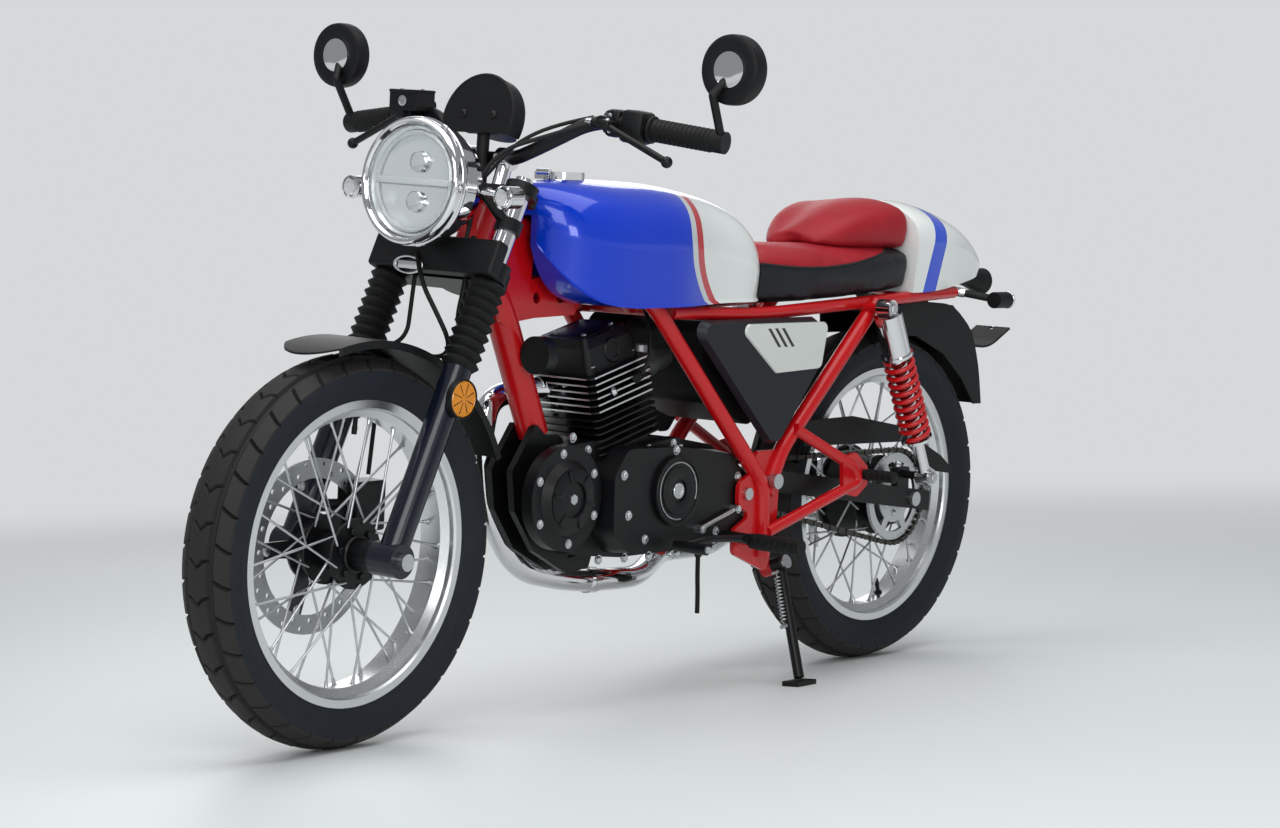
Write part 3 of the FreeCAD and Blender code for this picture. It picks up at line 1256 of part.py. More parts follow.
def controls(side, others):
    inner, d, perch_at = perch_line(side)
    knuckle = perch_at + d * perch_l / 2
    bend = knuckle + X * (lever_reach * 0.8)
    tip = knuckle + X * lever_reach + d * lever_l - Z * lever_drop
    parts = [rod(inner - d * switch_l, inner, switch_r), rod(perch_at, inner - d * switch_l, perch_r),
             rod(knuckle, bend, lever_r * 2), rod(bend, tip, lever_r), Part.makeSphere(lever_tip_r, tip)]
    if side < 0:
        tank_at = knuckle + V(lever_reach / 2, 0, perch_r)
        parts.append(box_at(tank_at, reservoir_w, reservoir_w * 1.3, reservoir_h))
    return fused(parts).cut(others)


def mirror(side, others):
    end, d = grip_line(side)
    root = end + d * (mirror_arm_r + seat_gap)
    sleeve = rod(end + d * seat_gap, end + d * (2 * mirror_arm_r + seat_gap), grip_r)
    head = V(end.x + mirror_fore / 4, side * mirror_y, end.z + mirror_rise)
    knee = root + V(mirror_fore, side * mirror_arm_r, mirror_rise * mirror_knee_share)
    shell = Part.makeCylinder(mirror_r, mirror_t, head - X * mirror_t / 2, X)
    return fused([sleeve, rod(root, knee, mirror_arm_r), Part.makeSphere(mirror_arm_r, knee),
                  rod(knee, head, mirror_arm_r), shell]).cut(others)


def front_blinker(side, others):
    root, tip = ear_ends(side)
    start = root + (tip - root) * 0.85
    middle = V(tip.x + ear_bar_r, side * front_blinker_y, tip.z - front_blinker_r)
    head = rod(middle - X * front_blinker_l / 2, middle + X * front_blinker_l / 2, front_blinker_r)
    return biggest(fused([head, rod(start, middle, blinker_stalk_r)]).cut(others))


def front_fender(others):
    centre = V(wheelbase, 0, front_r)
    body = arc_guard(centre, fender_r, fender_t, fender_half_w, fender_from_deg, fender_to_deg)
    a = math.radians(fender_from_deg)
    nose_x = centre.x + fender_r * math.cos(a) - fender_nose_r
    keep_round = Part.makeCylinder(fender_nose_r, 4 * fender_r, V(nose_x, 0, 0), Z)
    keep_rear = Part.makeBox(3 * fender_r, 4 * fender_half_w, 4 * fender_r,
                             V(nose_x - 3 * fender_r, -2 * fender_half_w, 0))
    body = biggest(body.common(keep_round.fuse(keep_rear)))
    stays = []
    for side in (1, -1):
        leg_side = fork_point(leg_l - leg_r, side)
        edge = V(leg_side.x, side * (fender_half_w - fender_t), leg_side.z)
        stays.append(rod(leg_side, edge, fender_stay_r * 2))
    return biggest(fused([body] + stays).cut(others))


def caliper(leg_solid):
    a = math.radians(caliper_deg)
    mid_r = disc_r - disc_ring_w / 2
    c = V(wheelbase + mid_r * math.cos(a), disc_y, front_r + mid_r * math.sin(a))
    body = box_at(c, caliper_l, caliper_w, caliper_h)
    body = body.makeFillet(flange_t, body.Edges)
    keep = Part.makeCylinder(disc_r + 2 * run_gap, disc_t + 2 * run_gap,
                             V(wheelbase, disc_y - disc_t / 2 - run_gap, front_r), Y)
    bracket = rod(c, fork_point((c.z - front_r) / math.cos(math.radians(rake_deg)), -1), fender_stay_r * 2)
    return biggest(fused([body.cut(keep), bracket.cut(keep)]).cut(leg_solid))


def reflector(side, leg_solid):
    # a round reflector on the outer face of the fork leg
    centre = fork_point(reflector_s, side)
    face = centre + Y * (side * leg_r)
    disc = rod(face, face + Y * (side * reflector_t), reflector_r)
    return biggest(fused([disc, rod(centre, face, reflector_r / 2)]).cut(leg_solid))


def cables(others):
    # the front brake hose and the control cables, from the bars down past the steering head
    right, left = perch_line(-1)[2], perch_line(1)[2]
    lamp_back = lamp_point() - X * (lamp_rim_t + lamp_bowl_l / 2)
    side_y = fork_half_w * 0.55
    front = at_y(lamp_back, 0) - X * (lamp_bowl_l / 2)
    low = fork_point(low_clamp_s() * 0.72, 0)
    a = math.radians(caliper_deg)
    calip = V(wheelbase + disc_r * math.cos(a), disc_y, front_r + disc_r * math.sin(a))
    brake = [right + X * lever_reach / 2, V(front.x, -side_y, front.z + gauge_l),
             V(front.x + bar_back, -side_y, place(horn_share).z + clamp_r),
             V(low.x, disc_y, low.z), calip + V(0, 0, caliper_h / 2)]
    clutch = [left + X * lever_reach / 2, V(front.x, side_y, front.z + gauge_l),
              V(front.x + bar_back, side_y, front.z - lamp_rim_r)]
    return [tube(p, cable_r, 0.4).cut(others) for p in (brake, clutch)]


def stand_axis():
    a = V(stand_axis_aim)
    a.normalize()
    return a


def stand_foot_point():
    return place(stand_share) + place(stand_leg_share)


def ground_normal():
    # the ground as the leaned machine sees it
    t = math.radians(lean_deg)
    return V(0, -math.sin(t), math.cos(t))


def side_stand():
    pivot = place(stand_share)
    hub_mid = pivot + stand_axis() * (stand_eye_w / 2 + plate_t)
    n = ground_normal()
    foot = stand_foot_point()
    sole = foot - n * foot.dot(n)
    half_eye = stand_axis() * (stand_eye_w / 2 - seat_gap)
    parts = [rod(hub_mid - half_eye, hub_mid + half_eye, stand_eye_r),
             rod(hub_mid, sole + n * (foot_t + stand_r / 2), stand_r)]
    pad = Part.makeBox(foot_l, foot_w, foot_t, V(-foot_l / 2, -foot_w / 2, 0))
    pad.Placement = FreeCAD.Placement(sole, FreeCAD.Rotation(Z, n)).multiply(pad.Placement)
    under = Part.makeBox(over * 4, over * 4, over, V(-over * 2, -over * 2, -over))
    under.Placement = FreeCAD.Placement(sole, FreeCAD.Rotation(Z, n)).multiply(under.Placement)
    bore = rod(pivot - stand_axis() * over, pivot + stand_axis() * over * 2, stand_pin_r + seat_gap)
    return fused(parts + [pad]).cut([under, bore])


def stand_pin(frame_solid):
    a = stand_axis()
    p = place(stand_share)
    end = stand_eye_w + plate_t + seat_gap
    bolt = rod(p - a * plate_t * 2, p + a * (end + axle_nut_l / 2), stand_pin_r)
    head = rod(p + a * end, p + a * (end + axle_nut_l / 2), stand_eye_r * 0.8)
    return fused([bolt, head]).cut(frame_solid)


def foot_peg(side):
    p = at_y(place(peg_share), side * (peg_y + seat_gap))
    return rod(p, p + Y * (side * peg_l), peg_r)


def pass_peg(side, frame_solid):
    p = place(pass_peg_share)
    y0 = side * loop_shares[1][1] * frame_half_w
    return biggest(rod(at_y(p, y0), at_y(p, y0 + side * pass_peg_l), pass_peg_r).cut(frame_solid))


def gear_pedal(others):
    pts = places(gear_shares)
    toe = rod(at_y(pts[0], pts[0].y - lever_rod_r * 1.5), at_y(pts[0], toe_peg_y + toe_peg_l), toe_peg_r)
    start_y = case_half_w + left_cover_t + seat_gap
    shaft = rod(at_y(pts[-1], start_y), pts[-1] + Y * lever_rod_r * 1.5, toe_peg_r)
    return biggest(fused([tube(pts, lever_rod_r), toe, shaft]).cut(others))


def brake_pedal(others):
    pts = places(brake_shares)
    toe = rod(at_y(pts[-1], pts[-1].y + lever_rod_r * 1.5), at_y(pts[-1], -toe_peg_y - toe_peg_l), toe_peg_r)
    shaft = rod(at_y(pts[0], -frame_half_w), pts[0] - Y * lever_rod_r * 1.5, toe_peg_r)
    return biggest(fused([tube(pts, lever_rod_r), toe, shaft]).cut(others))


def horn(frame_solid):
    p = place(horn_share) + Y * (downtube_r + horn_r + run_gap)
    bracket = rod(at_y(p, 0) + X * horn_t / 2, p + X * horn_t / 2, fender_stay_r)
    return biggest(rod(p, p + X * horn_t, horn_r).fuse(bracket).cut(frame_solid))


def hose_radii():
    radii = []
    for i in range(1, len(hose_route) - 1):
        u, w = hose_route[i] - hose_route[i - 1], hose_route[i + 1] - hose_route[i]
        turn = u.getAngle(w)
        radii.append(round(0.45 * min(u.Length, w.Length) / math.tan(turn / 2), 1))
    return radii


def steer(shape):
    return turned(shape, steering_point(0), axis_dir(), rest_steer_deg)


def engine_nodes(frame_solid):
    cyl, head_solid = cylinder(), cylinder_head()
    covers = [biggest(left_cover().cut(frame_solid))]
    covers.append(biggest(alternator(covers[0]).cut(frame_solid)))
    covers.append(biggest(right_cover().cut(frame_solid)))
    bolts = [engine_bolt(1), engine_bolt(-1)]
    case = crankcase([frame_solid, cyl] + covers + bolts)
    head_solid = biggest(head_solid.cut([case]))
    cyl = biggest(cyl.cut([head_solid, case] + covers))
    box_solid = biggest(airbox().cut([frame_solid, head_solid]))
    pipe = header([head_solid, cyl, case, frame_solid] + covers)
    stay = header_stay([pipe, case] + covers)
    return {"crankcase": case, "cylinder": cyl, "cylinder_head": head_solid,
            "engine_covers": Part.makeCompound(covers), "airbox": box_solid,
            "carburettor": carburettor([head_solid, cyl, box_solid]),
            "header_pipe": Part.makeCompound([pipe, stay]), "muffler": biggest(muffler().cut(pipe))}


def body_nodes(frame_solid):
    tank = fuel_tank(frame_solid)
    pad = biggest(body_loft(seat_shares, seat_half_w).cut([tank, frame_solid]))
    cowl = biggest(body_loft(cowl_shares, cowl_half_w).cut([pad, frame_solid]))
    hump = biggest(body_loft(hump_shares, hump_half_w).cut([pad, cowl]))
    guard = rear_guard([cowl, frame_solid])
    lights = [rear_blinker(s, [cowl, guard, frame_solid]) for s in (1, -1)]
    return {"fuel_tank": tank, "fuel_cap": fuel_cap(tank), "seat": pad, "tail_cowl": cowl, "hump_pad": hump,
            "side_covers": Part.makeCompound(side_covers(frame_solid)),
            "side_panels": Part.makeCompound(side_panels()), "rear_mudguard": guard,
            "tail_lamp": tail_lamp([cowl, guard]), "rear_indicators": Part.makeCompound(lights)}


def chassis_nodes(frame_solid):
    arm_solid = swingarm()
    pedals = [gear_pedal([frame_solid]), brake_pedal([frame_solid])]
    bolts = [biggest(pivot_bolt().cut(frame_solid)), rear_axle(), stand_pin(frame_solid), engine_bolt(1),
             engine_bolt(-1)]
    pegs = [foot_peg(1), foot_peg(-1), pass_peg(1, frame_solid), pass_peg(-1, frame_solid)]
    return {"swingarm": arm_solid, "axle_bolts": Part.makeCompound(bolts),
            "brake_plate": shifted(brake_plate(), V(0, 0, rear_r)), "chain": chain(),
            "chain_guard": chain_guard(arm_solid), "shock_bodies": Part.makeCompound([shock(1), shock(-1)]),
            "shock_springs": Part.makeCompound([spring(1), spring(-1)]), "foot_pegs": Part.makeCompound(pegs),
            "foot_controls": Part.makeCompound(pedals), "horn": horn(frame_solid),
            "breather_hose": tube(hose_route, hose_r, 0.45)}


def wheel_nodes():
    rim_solid, hub_f, hub_r = rim(), front_hub(), rear_hub()
    hook_f = front_hub_flange_r - flange_t
    front = {"front_tyre": tyre(front_r, front_half_w), "front_rim": rim_solid, "front_hub": hub_f,
             "front_spokes": spokes(front_hub_half_w, (hook_f, hook_f), rim_solid, hub_f),
             "front_disc": front_disc()}
    rear = {"rear_tyre": tyre(rear_r, rear_half_w), "rear_rim": rim_solid, "rear_hub": hub_r,
            "rear_spokes": spokes(rear_hub_half_w, (rear_hub_flange_r - flange_t, rear_drum_r + 2 * seat_gap),
                                  rim_solid, hub_r),
            "rear_sprocket": rear_sprocket()}
    return front, rear


def steered_nodes():
    legs, tubes = [fork_leg(1), fork_leg(-1)], [fork_tube(1), fork_tube(-1)]
    clamps, bowl, bar = fork_clamps(), headlamp_bowl(), handlebar()
    grips = [grip(1, bar), grip(-1, bar)]
    cover = fork_cover(clamps)
    ears = lamp_ears([bowl, clamps] + tubes)
    bar_feet = risers([bar, clamps])
    instrument = gauge([clamps, bar] + bar_feet)
    hands = [controls(1, [bar, grips[0]]), controls(-1, [bar, grips[1]])]
    lights = [front_blinker(s, [bowl] + tubes + ears) for s in (1, -1)]
    fender, brake = front_fender(legs), caliper(legs[1])
    wires = cables([clamps, bowl, bar, cover, instrument, fender, brake] + hands + legs + bar_feet)
    return {"fork_legs": Part.makeCompound(legs), "front_axle": front_axle(),
            "fork_gaiters": Part.makeCompound([gaiter(1), gaiter(-1)]), "fork_tubes": Part.makeCompound(tubes),
            "fork_clamps": Part.makeCompound([clamps] + ears), "fork_cover": cover, "headlamp_bowl": bowl,
            "headlamp_lens": headlamp_lens(), "gauge": instrument, "handlebar": bar,
            "grips": Part.makeCompound(grips), "bar_clamps": Part.makeCompound(bar_feet),
            "hand_controls": Part.makeCompound(hands),
            "mirrors": Part.makeCompound([mirror(1, [bar, grips[0]]), mirror(-1, [bar, grips[1]])]),
            "front_indicators": Part.makeCompound(lights), "front_mudguard": fender, "front_caliper": brake,
            "reflectors": Part.makeCompound([reflector(1, legs[0]), reflector(-1, legs[1])]),
            "control_cables": Part.makeCompound([biggest(w) for w in wires])}


def build():
    frame_solid = frame()
    nodes = {"frame": frame_solid, "side_stand": side_stand()}
    nodes.update(engine_nodes(frame_solid))
    nodes.update(body_nodes(frame_solid))
    nodes.update(chassis_nodes(frame_solid))
    front, rear = wheel_nodes()
    for name, shape in rear.items():
        nodes[name] = shifted(shape, V(0, 0, rear_r))
    steered = steered_nodes()
    for name, shape in front.items():
        steered[name] = shifted(shape, V(wheelbase, 0, front_r))
    for name, shape in steered.items():
        nodes[name] = steer(shape)
    return nodes


def main():
    os.makedirs("parts", exist_ok=True)
    nodes = build()
    lean = FreeCAD.Rotation(X, -lean_deg)
    leaned = {n: turned(s, V(0, 0, 0), X, -lean_deg) for n, s in nodes.items()}
    cords = ("breather_hose",)
    whole = Part.makeCompound([s for n, s in leaned.items() if n not in cords])
    bb = whole.optimalBoundingBox(False, False)
    shift = V(-(bb.XMin + bb.XMax) / 2, -(bb.YMin + bb.YMax) / 2, -bb.ZMin)
    for name, shape in leaned.items():
        final = shifted(shape, shift)
        final.exportStep("parts/" + name + ".step")
        print(name, len(final.Solids), "solids", round(final.Volume), "valid" if final.isValid() else "NOT VALID")
    print("box", [round(v, 2) for v in (bb.XLength, bb.YLength, bb.ZLength)])

    def final_point(p):
        q = lean.multVec(p) + shift
        return [round(c / 1000, 6) for c in (q.x, q.y, q.z)]

    def final_dir(d):
        q = lean.multVec(d)
        return [round(c, 6) for c in (q.x, q.y, q.z)]

    turn = FreeCAD.Rotation(axis_dir(), rest_steer_deg)
    base = steering_point(0)
    axle_f = base + turn.multVec(V(wheelbase, 0, front_r) - base)
    print("FACT steering", final_point(head_point()), final_dir(axis_dir()))
    print("FACT front_wheel", final_point(axle_f), final_dir(turn.multVec(Y)))
    print("FACT rear_wheel", final_point(V(0, 0, rear_r)), final_dir(Y))
    print("FACT side_stand", final_point(place(stand_share)), final_dir(stand_axis()), stand_fold_deg)
    print("FACT rear_axle_mount", final_point(V(0, 0, rear_r)), final_dir(Y))
    print("FACT hose radii", hose_radii())


main()
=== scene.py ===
# %% [markdown]
# # A cafe racer motorcycle, dressed for its portrait
# The construction model comes in first and is never moved.  Every new piece is modelled in
# the motorcycle's own upright space, in millimetres, and then carried to where the machine
# stands: leaned five degrees onto its side stand, with the front end turned a little left.
# %% Load the frame
import bpy
import bmesh
from math import acos, asin, atan2, cos, hypot, pi, radians, sin, sqrt, tan
from mathutils import Matrix, Vector


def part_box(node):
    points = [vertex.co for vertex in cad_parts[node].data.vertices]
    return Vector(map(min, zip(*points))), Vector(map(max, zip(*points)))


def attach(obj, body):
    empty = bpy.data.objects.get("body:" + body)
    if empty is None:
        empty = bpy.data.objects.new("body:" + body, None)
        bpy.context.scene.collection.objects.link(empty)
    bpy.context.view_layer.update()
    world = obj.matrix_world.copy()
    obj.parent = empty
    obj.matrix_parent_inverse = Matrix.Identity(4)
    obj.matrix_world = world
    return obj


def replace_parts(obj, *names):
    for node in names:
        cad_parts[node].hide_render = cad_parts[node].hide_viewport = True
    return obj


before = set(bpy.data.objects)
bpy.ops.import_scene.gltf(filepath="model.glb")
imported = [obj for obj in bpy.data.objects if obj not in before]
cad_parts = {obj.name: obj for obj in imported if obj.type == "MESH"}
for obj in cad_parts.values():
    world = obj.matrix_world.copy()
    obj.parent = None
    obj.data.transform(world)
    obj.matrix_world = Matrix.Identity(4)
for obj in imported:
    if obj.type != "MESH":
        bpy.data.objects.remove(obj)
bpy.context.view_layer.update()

# %% [markdown]
# The machine's own space has its origin on the ground under the rear axle, +X ahead, +Y to
# the rider's left and +Z up.  Two rotations lead from there to the parked pose.  Finding
# them once, from the axle of the construction model, means that no piece needs fitting.
# %% Spaces
X, Y, Z = Vector((1, 0, 0)), Vector((0, 1, 0)), Vector((0, 0, 1))
MM = 0.001
LEAN, STEER, RAKE = radians(-5.0), radians(2.0), radians(25.5)
WHEELBASE, FRONT_R, REAR_R, FORK_OFFSET = 1335.0, 298.0, 303.0, 42.5


def middle_of(node):
    low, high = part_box(node)
    return (Vector(low) + Vector(high)) / 2


def shifted(place, lean):
    # a step to a place, then a turn in degrees about the crosswise axis
    return Matrix.Translation(place) @ Matrix.Rotation(radians(lean), 4, "Y")


rear_axle = middle_of("rear_rim")
TO_BIKE = (Matrix.Translation(rear_axle) @ Matrix.Rotation(LEAN, 4, "X")
           @ Matrix.Translation((0, 0, -REAR_R * MM)) @ Matrix.Diagonal((MM, MM, MM, 1.0)))
STEER_FOOT = X * (WHEELBASE + FRONT_R * tan(RAKE) - FORK_OFFSET / cos(RAKE))
STEER_AXIS = Vector((-sin(RAKE), 0, cos(RAKE)))
TO_FORK = (TO_BIKE @ Matrix.Translation(STEER_FOOT) @ Matrix.Rotation(STEER, 4, STEER_AXIS)
           @ Matrix.Translation(-STEER_FOOT))
TO_FRONT_WHEEL = TO_FORK @ Matrix.Translation((WHEELBASE, 0, FRONT_R))
TO_REAR_WHEEL = TO_BIKE @ Matrix.Translation((0, 0, REAR_R))
TO_CYLINDER = TO_BIKE @ shifted((748.0, 0.0, 430.0), 14.5)
PLACES = {"chassis": TO_BIKE, "steering": TO_FORK, "front_wheel": TO_FRONT_WHEEL,
          "rear_wheel": TO_REAR_WHEEL, "side_stand": TO_BIKE}
print("front axle is off by", (middle_of("front_rim") - TO_FRONT_WHEEL.translation).length)

# %% [markdown]
# The camera stands where the photographer stood, a little above the tank and ahead of the
# left handlebar.  Its place was found from the outlines of the two wheels.
# %% Camera
camera_data = bpy.data.cameras.new("camera")
camera_data.lens, camera_data.sensor_width, camera_data.clip_end = 85.6, 36.0, 100.0
camera = bpy.data.objects.new("camera", camera_data)
bpy.context.scene.collection.objects.link(camera)
CAM_FROM_AXLE = Vector((4.534, 3.2546, 0.3312))
right = Vector((-0.6389, 0.7687, -0.0288))
forward = Vector((-0.7681, -0.6396, -0.0317))
up = right.cross(forward).normalized()
right = forward.cross(up).normalized()
camera.matrix_world = Matrix.Translation(rear_axle + CAM_FROM_AXLE) @ Matrix(
    (right, up, -forward.normalized())).transposed().to_4x4()
bpy.context.scene.camera = camera
print("camera at", [round(c, 3) for c in camera.location])

# %% [markdown]
# Colours are written as sRGB hex, the way a colour picker shows them, and turned to linear
# light by one function.  One more function adds a shader node with its settings and its
# inputs.  Masks are sums of places in millimetres, written as nested terms.  A Mix node for
# colours takes its two colours as inputs 6 and 7, and gives the mix as output 2.
# %% Colour and node helpers
def linear(hex_code):
    out = []
    for i in (1, 3, 5):
        c = int(hex_code[i:i + 2], 16) / 255.0
        out.append(c / 12.92 if c <= 0.04045 else ((c + 0.055) / 1.055) ** 2.4)
    return (*out, 1.0)


def add(tree, kind, inputs=None, **settings):
    # each input is a value, or the output that feeds it
    node = tree.nodes.new(kind)
    for key, value in settings.items():
        setattr(node, key, value)
    for key, value in (inputs or {}).items():
        if isinstance(value, bpy.types.NodeSocket):
            tree.links.new(value, node.inputs[key])
        else:
            node.inputs[key].default_value = value
    return node


def formula(tree, term):
    # ("ADD", a, ("SINE", b)) is a + sin(b); a term is a number, an output or a sum again
    if not isinstance(term, tuple):
        return term
    terms = dict(enumerate(formula(tree, part) for part in term[1:]))
    return add(tree, "ShaderNodeMath", terms, operation=term[0]).outputs["Value"]


def apart(a, b):
    return "SQRT", ("ADD", ("MULTIPLY", a, a), ("MULTIPLY", b, b))


def in_space(tree, space):
    # object coordinates measured in millimetres along the machine's own axes
    spot, turn, scale = space.decompose()
    place = add(tree, "ShaderNodeTexCoord").outputs["Object"]
    at = add(tree, "ShaderNodeMapping", {"Location": spot, "Rotation": turn.to_euler(), "Scale": scale,
                                         "Vector": place}, vector_type="TEXTURE").outputs["Vector"]
    return (*add(tree, "ShaderNodeSeparateXYZ", {"Vector": at}).outputs, at)


def finish(name, colour, metallic, roughness, **extra):
    material = bpy.data.materials.new(name)
    material.use_nodes = True
    shader = material.node_tree.nodes["Principled BSDF"]
    extra.update(Base_Color=linear(colour), Metallic=metallic, Roughness=roughness)
    for key, value in extra.items():
        shader.inputs[key.replace("_", " ")].default_value = value
    return material, material.node_tree, shader


def wear(tree, shader, height, strength, depth_mm, fine, low, high):
    # relief from one value, and roughness that goes from low to high with another
    bump = add(tree, "ShaderNodeBump",
               {"Strength": strength, "Distance": depth_mm * MM, "Height": height})
    rough = add(tree, "ShaderNodeMapRange", {"To Min": low, "To Max": high, "Value": fine})
    tree.links.new(bump.outputs["Normal"], shader.inputs["Normal"])
    tree.links.new(rough.outputs["Result"], shader.inputs["Roughness"])


def grained(name, colour, metallic, roughness, size_mm, depth_mm, low, high, **extra):
    # a plain finish with the fine unevenness of how it was made
    material, tree, shader = finish(name, colour, metallic, roughness, **extra)
    place = add(tree, "ShaderNodeTexCoord").outputs["Object"]
    fine = add(tree, "ShaderNodeTexNoise",
               {"Scale": 1.0 / (size_mm * MM), "Detail": 3.0, "Vector": place}).outputs["Fac"]
    wear(tree, shader, fine, 1.0, depth_mm, fine, low, high)
    return material


def bands(tree, value, low, high, stops):
    # hard-edged stripes of colour along a value that runs from low to high
    share = add(tree, "ShaderNodeMapRange", {"From Min": low, "From Max": high, "Value": value})
    ramp = add(tree, "ShaderNodeValToRGB", {"Fac": share.outputs["Result"]})
    ramp.color_ramp.interpolation = "CONSTANT"
    edges = ramp.color_ramp.elements
    edges[0].position, edges[0].color = 0.0, linear(stops[0][1])
    edges[1].position, edges[1].color = (stops[1][0] - low) / (high - low), linear(stops[1][1])
    for edge, colour in stops[2:]:
        edges.new((edge - low) / (high - low)).color = linear(colour)
    return ramp.outputs["Color"]


def mottled(tree, at, scale, detail, dark, light):
    # two shades of one colour, in soft clouds
    cloud = add(tree, "ShaderNodeTexNoise", {"Scale": scale, "Detail": detail, "Vector": at}).outputs["Fac"]
    tint = add(tree, "ShaderNodeValToRGB", {"Fac": cloud})
    for stop, colour in zip(tint.color_ramp.elements, (dark, light)):
        stop.color = linear(colour)
    return tint.outputs["Color"], cloud


# %% [markdown]
# Finishes, each named for what it is and how its surface was made.  Paint on steel has a
# clear coat over a faintly wavy coat of colour.  Powder coat is softer and shows a fine
# orange peel, cast engine parts are sand-rough under their enamel, and moulded plastic has
# a fine even texture.
# %% Painted, plated and moulded finishes
DULL = {"Specular_IOR_Level": 0.3}
COATED = {**DULL, "Coat_Weight": 0.4, "Coat_Roughness": 0.1}
FRAME_RED = grained("powder_coat_red", "#bd0b12", 0.0, 0.28, 2.5, 0.02, 0.24, 0.36, **COATED)
BLACK_PAINT = grained("satin_black_enamel", "#08090b", 0.0, 0.36, 1.5, 0.02, 0.32, 0.48, **DULL)
ENGINE_BLACK = grained("engine_black_enamel", "#07080a", 0.0, 0.38, 0.8, 0.04, 0.34, 0.5, **DULL)
FORK_BLUE_BLACK = grained("dark_navy_enamel", "#080e1e", 0.0, 0.26, 2.0, 0.01, 0.2, 0.3, **COATED)
MOULDED_BLACK = grained("moulded_abs_black", "#090a0c", 0.0, 0.42, 0.6, 0.05, 0.44, 0.6, **DULL)
COVER_GREY = grained("moulded_abs_dark_grey", "#12161e", 0.0, 0.36, 0.7, 0.03, 0.34, 0.5,
                     Specular_IOR_Level=0.35)
CHROME = grained("chrome_plate", "#e2e2e4", 1.0, 0.07, 4.0, 0.003, 0.04, 0.11)
RIM_ALLOY = grained("polished_rim_alloy", "#dadcdd", 1.0, 0.26, 0.6, 0.01, 0.2, 0.33)
CAST_ALLOY = grained("cast_alloy", "#a9abac", 1.0, 0.42, 0.8, 0.04, 0.36, 0.5)
ZINC_STEEL = grained("zinc_plated_steel", "#c4c6c8", 1.0, 0.28, 1.0, 0.01, 0.22, 0.36)
DARK_STEEL = grained("oiled_chain_steel", "#4c4a47", 1.0, 0.38, 0.8, 0.02, 0.3, 0.5)
SOFT_RUBBER = grained("moulded_rubber", "#0a0b0c", 0.0, 0.6, 1.0, 0.06, 0.52, 0.7, **DULL)
PIPING = grained("black_vinyl_piping", "#101215", 0.0, 0.5, 0.8, 0.02, 0.44, 0.58)
AMBER = finish("amber_acrylic", "#e08a08", 0.0, 0.14, Transmission_Weight=0.15)[0]
LAMP_RED = finish("dark_red_acrylic", "#8c0d12", 0.0, 0.12, Transmission_Weight=0.15)[0]
CLEAR = finish("clear_polycarbonate", "#f8fafa", 0.0, 0.03, Transmission_Weight=1.0, IOR=1.49)[0]
MIRROR_GLASS = finish("silvered_glass", "#e8eaec", 1.0, 0.02)[0]
REFLECTOR = grained("vacuum_metallised_reflector", "#eceef0", 1.0, 0.16, 9.0, 0.05, 0.1, 0.24)
LAMP_WHITE = grained("frosted_light_guide", "#f2f5f7", 0.0, 0.35, 3.0, 0.02, 0.3, 0.4, Coat_Weight=0.6)
DIAL_BLACK = grained("printed_dial_face", "#0e0f11", 0.0, 0.55, 0.5, 0.01, 0.5, 0.6)
print(len(bpy.data.materials), "plain finishes")

# %% [markdown]
# The tyres are black rubber, browner with dust on the tread and blue-black with a faint
# sheen on the side walls.  Rings pressed into the side wall come from the distance to the
# axle, measured in the wheel's own millimetres, so they stay round and concentric.
# %% Tyre rubber
def tyre_rubber(name, space, crown_r):
    material, tree, shader = finish(name, "#12161c", 0.0, 0.7, Specular_IOR_Level=0.35)
    x, y, z, at = in_space(tree, space)
    radius = formula(tree, apart(x, z))
    wall = mottled(tree, at, 0.05, 4.0, "#0c1018", "#161c27")[0]
    tread = formula(tree, ("GREATER_THAN", radius, crown_r))
    mix = add(tree, "ShaderNodeMix", {"Factor": tread, 6: wall, 7: linear("#242221")}, data_type="RGBA")
    tree.links.new(mix.outputs[2], shader.inputs["Base Color"])
    fine = add(tree, "ShaderNodeTexNoise", {"Scale": 0.8, "Detail": 3.0, "Vector": at}).outputs["Fac"]
    rings = "MULTIPLY", ("SINE", ("MULTIPLY", radius, 2 * pi / 7.0)), 0.25
    wear(tree, shader, formula(tree, ("ADD", rings, fine)), 0.8, 0.25, fine, 0.55, 0.8)
    return material


FRONT_RUBBER = tyre_rubber("front_tyre_rubber", TO_FRONT_WHEEL, 275.5)
REAR_RUBBER = tyre_rubber("rear_tyre_rubber", TO_REAR_WHEEL, 279.0)
print("tyre rubber for both wheels")

# %% [markdown]
# The tank is sprayed in three colours: blue ahead, white behind, with a silver and a red
# stripe between them that bow forward at half height.  The stripe is a band of the value
# "distance ahead of the bowed line", so it wraps over the tank as masking tape does.  The
# insert on each side cover is silver lacquer with three slanted bars printed in black: they
# are stripes of "along less the height", cut off above and below.
# %% Lacquers
def lacquer(name, colour_of, metallic=0.0):
    material, tree, shader = finish(name, "#ffffff", metallic, 0.24, Specular_IOR_Level=0.2,
                                    Coat_Weight=0.7, Coat_Roughness=0.04)
    x, y, z, at = in_space(tree, TO_BIKE)
    tree.links.new(colour_of(tree, x, y, z), shader.inputs["Base Color"])
    peel = add(tree, "ShaderNodeTexNoise", {"Scale": 0.25, "Detail": 2.0, "Vector": at}).outputs["Fac"]
    wear(tree, shader, peel, 0.5, 0.02, peel, 0.2, 0.28)
    return material


def tank_colours(tree, x, y, z):
    up = formula(tree, ("SUBTRACT", z, 772.0))
    bow = "MULTIPLY", ("MULTIPLY", up, up), 0.0055
    ahead = formula(tree, ("ADD", ("SUBTRACT", x, 688.0), bow))
    return bands(tree, ahead, -300.0, 300.0,
                 [(-300, "#dfe4e2"), (-38, "#b92733"), (-17, "#c4c9cc"), (0, "#0638c4")])


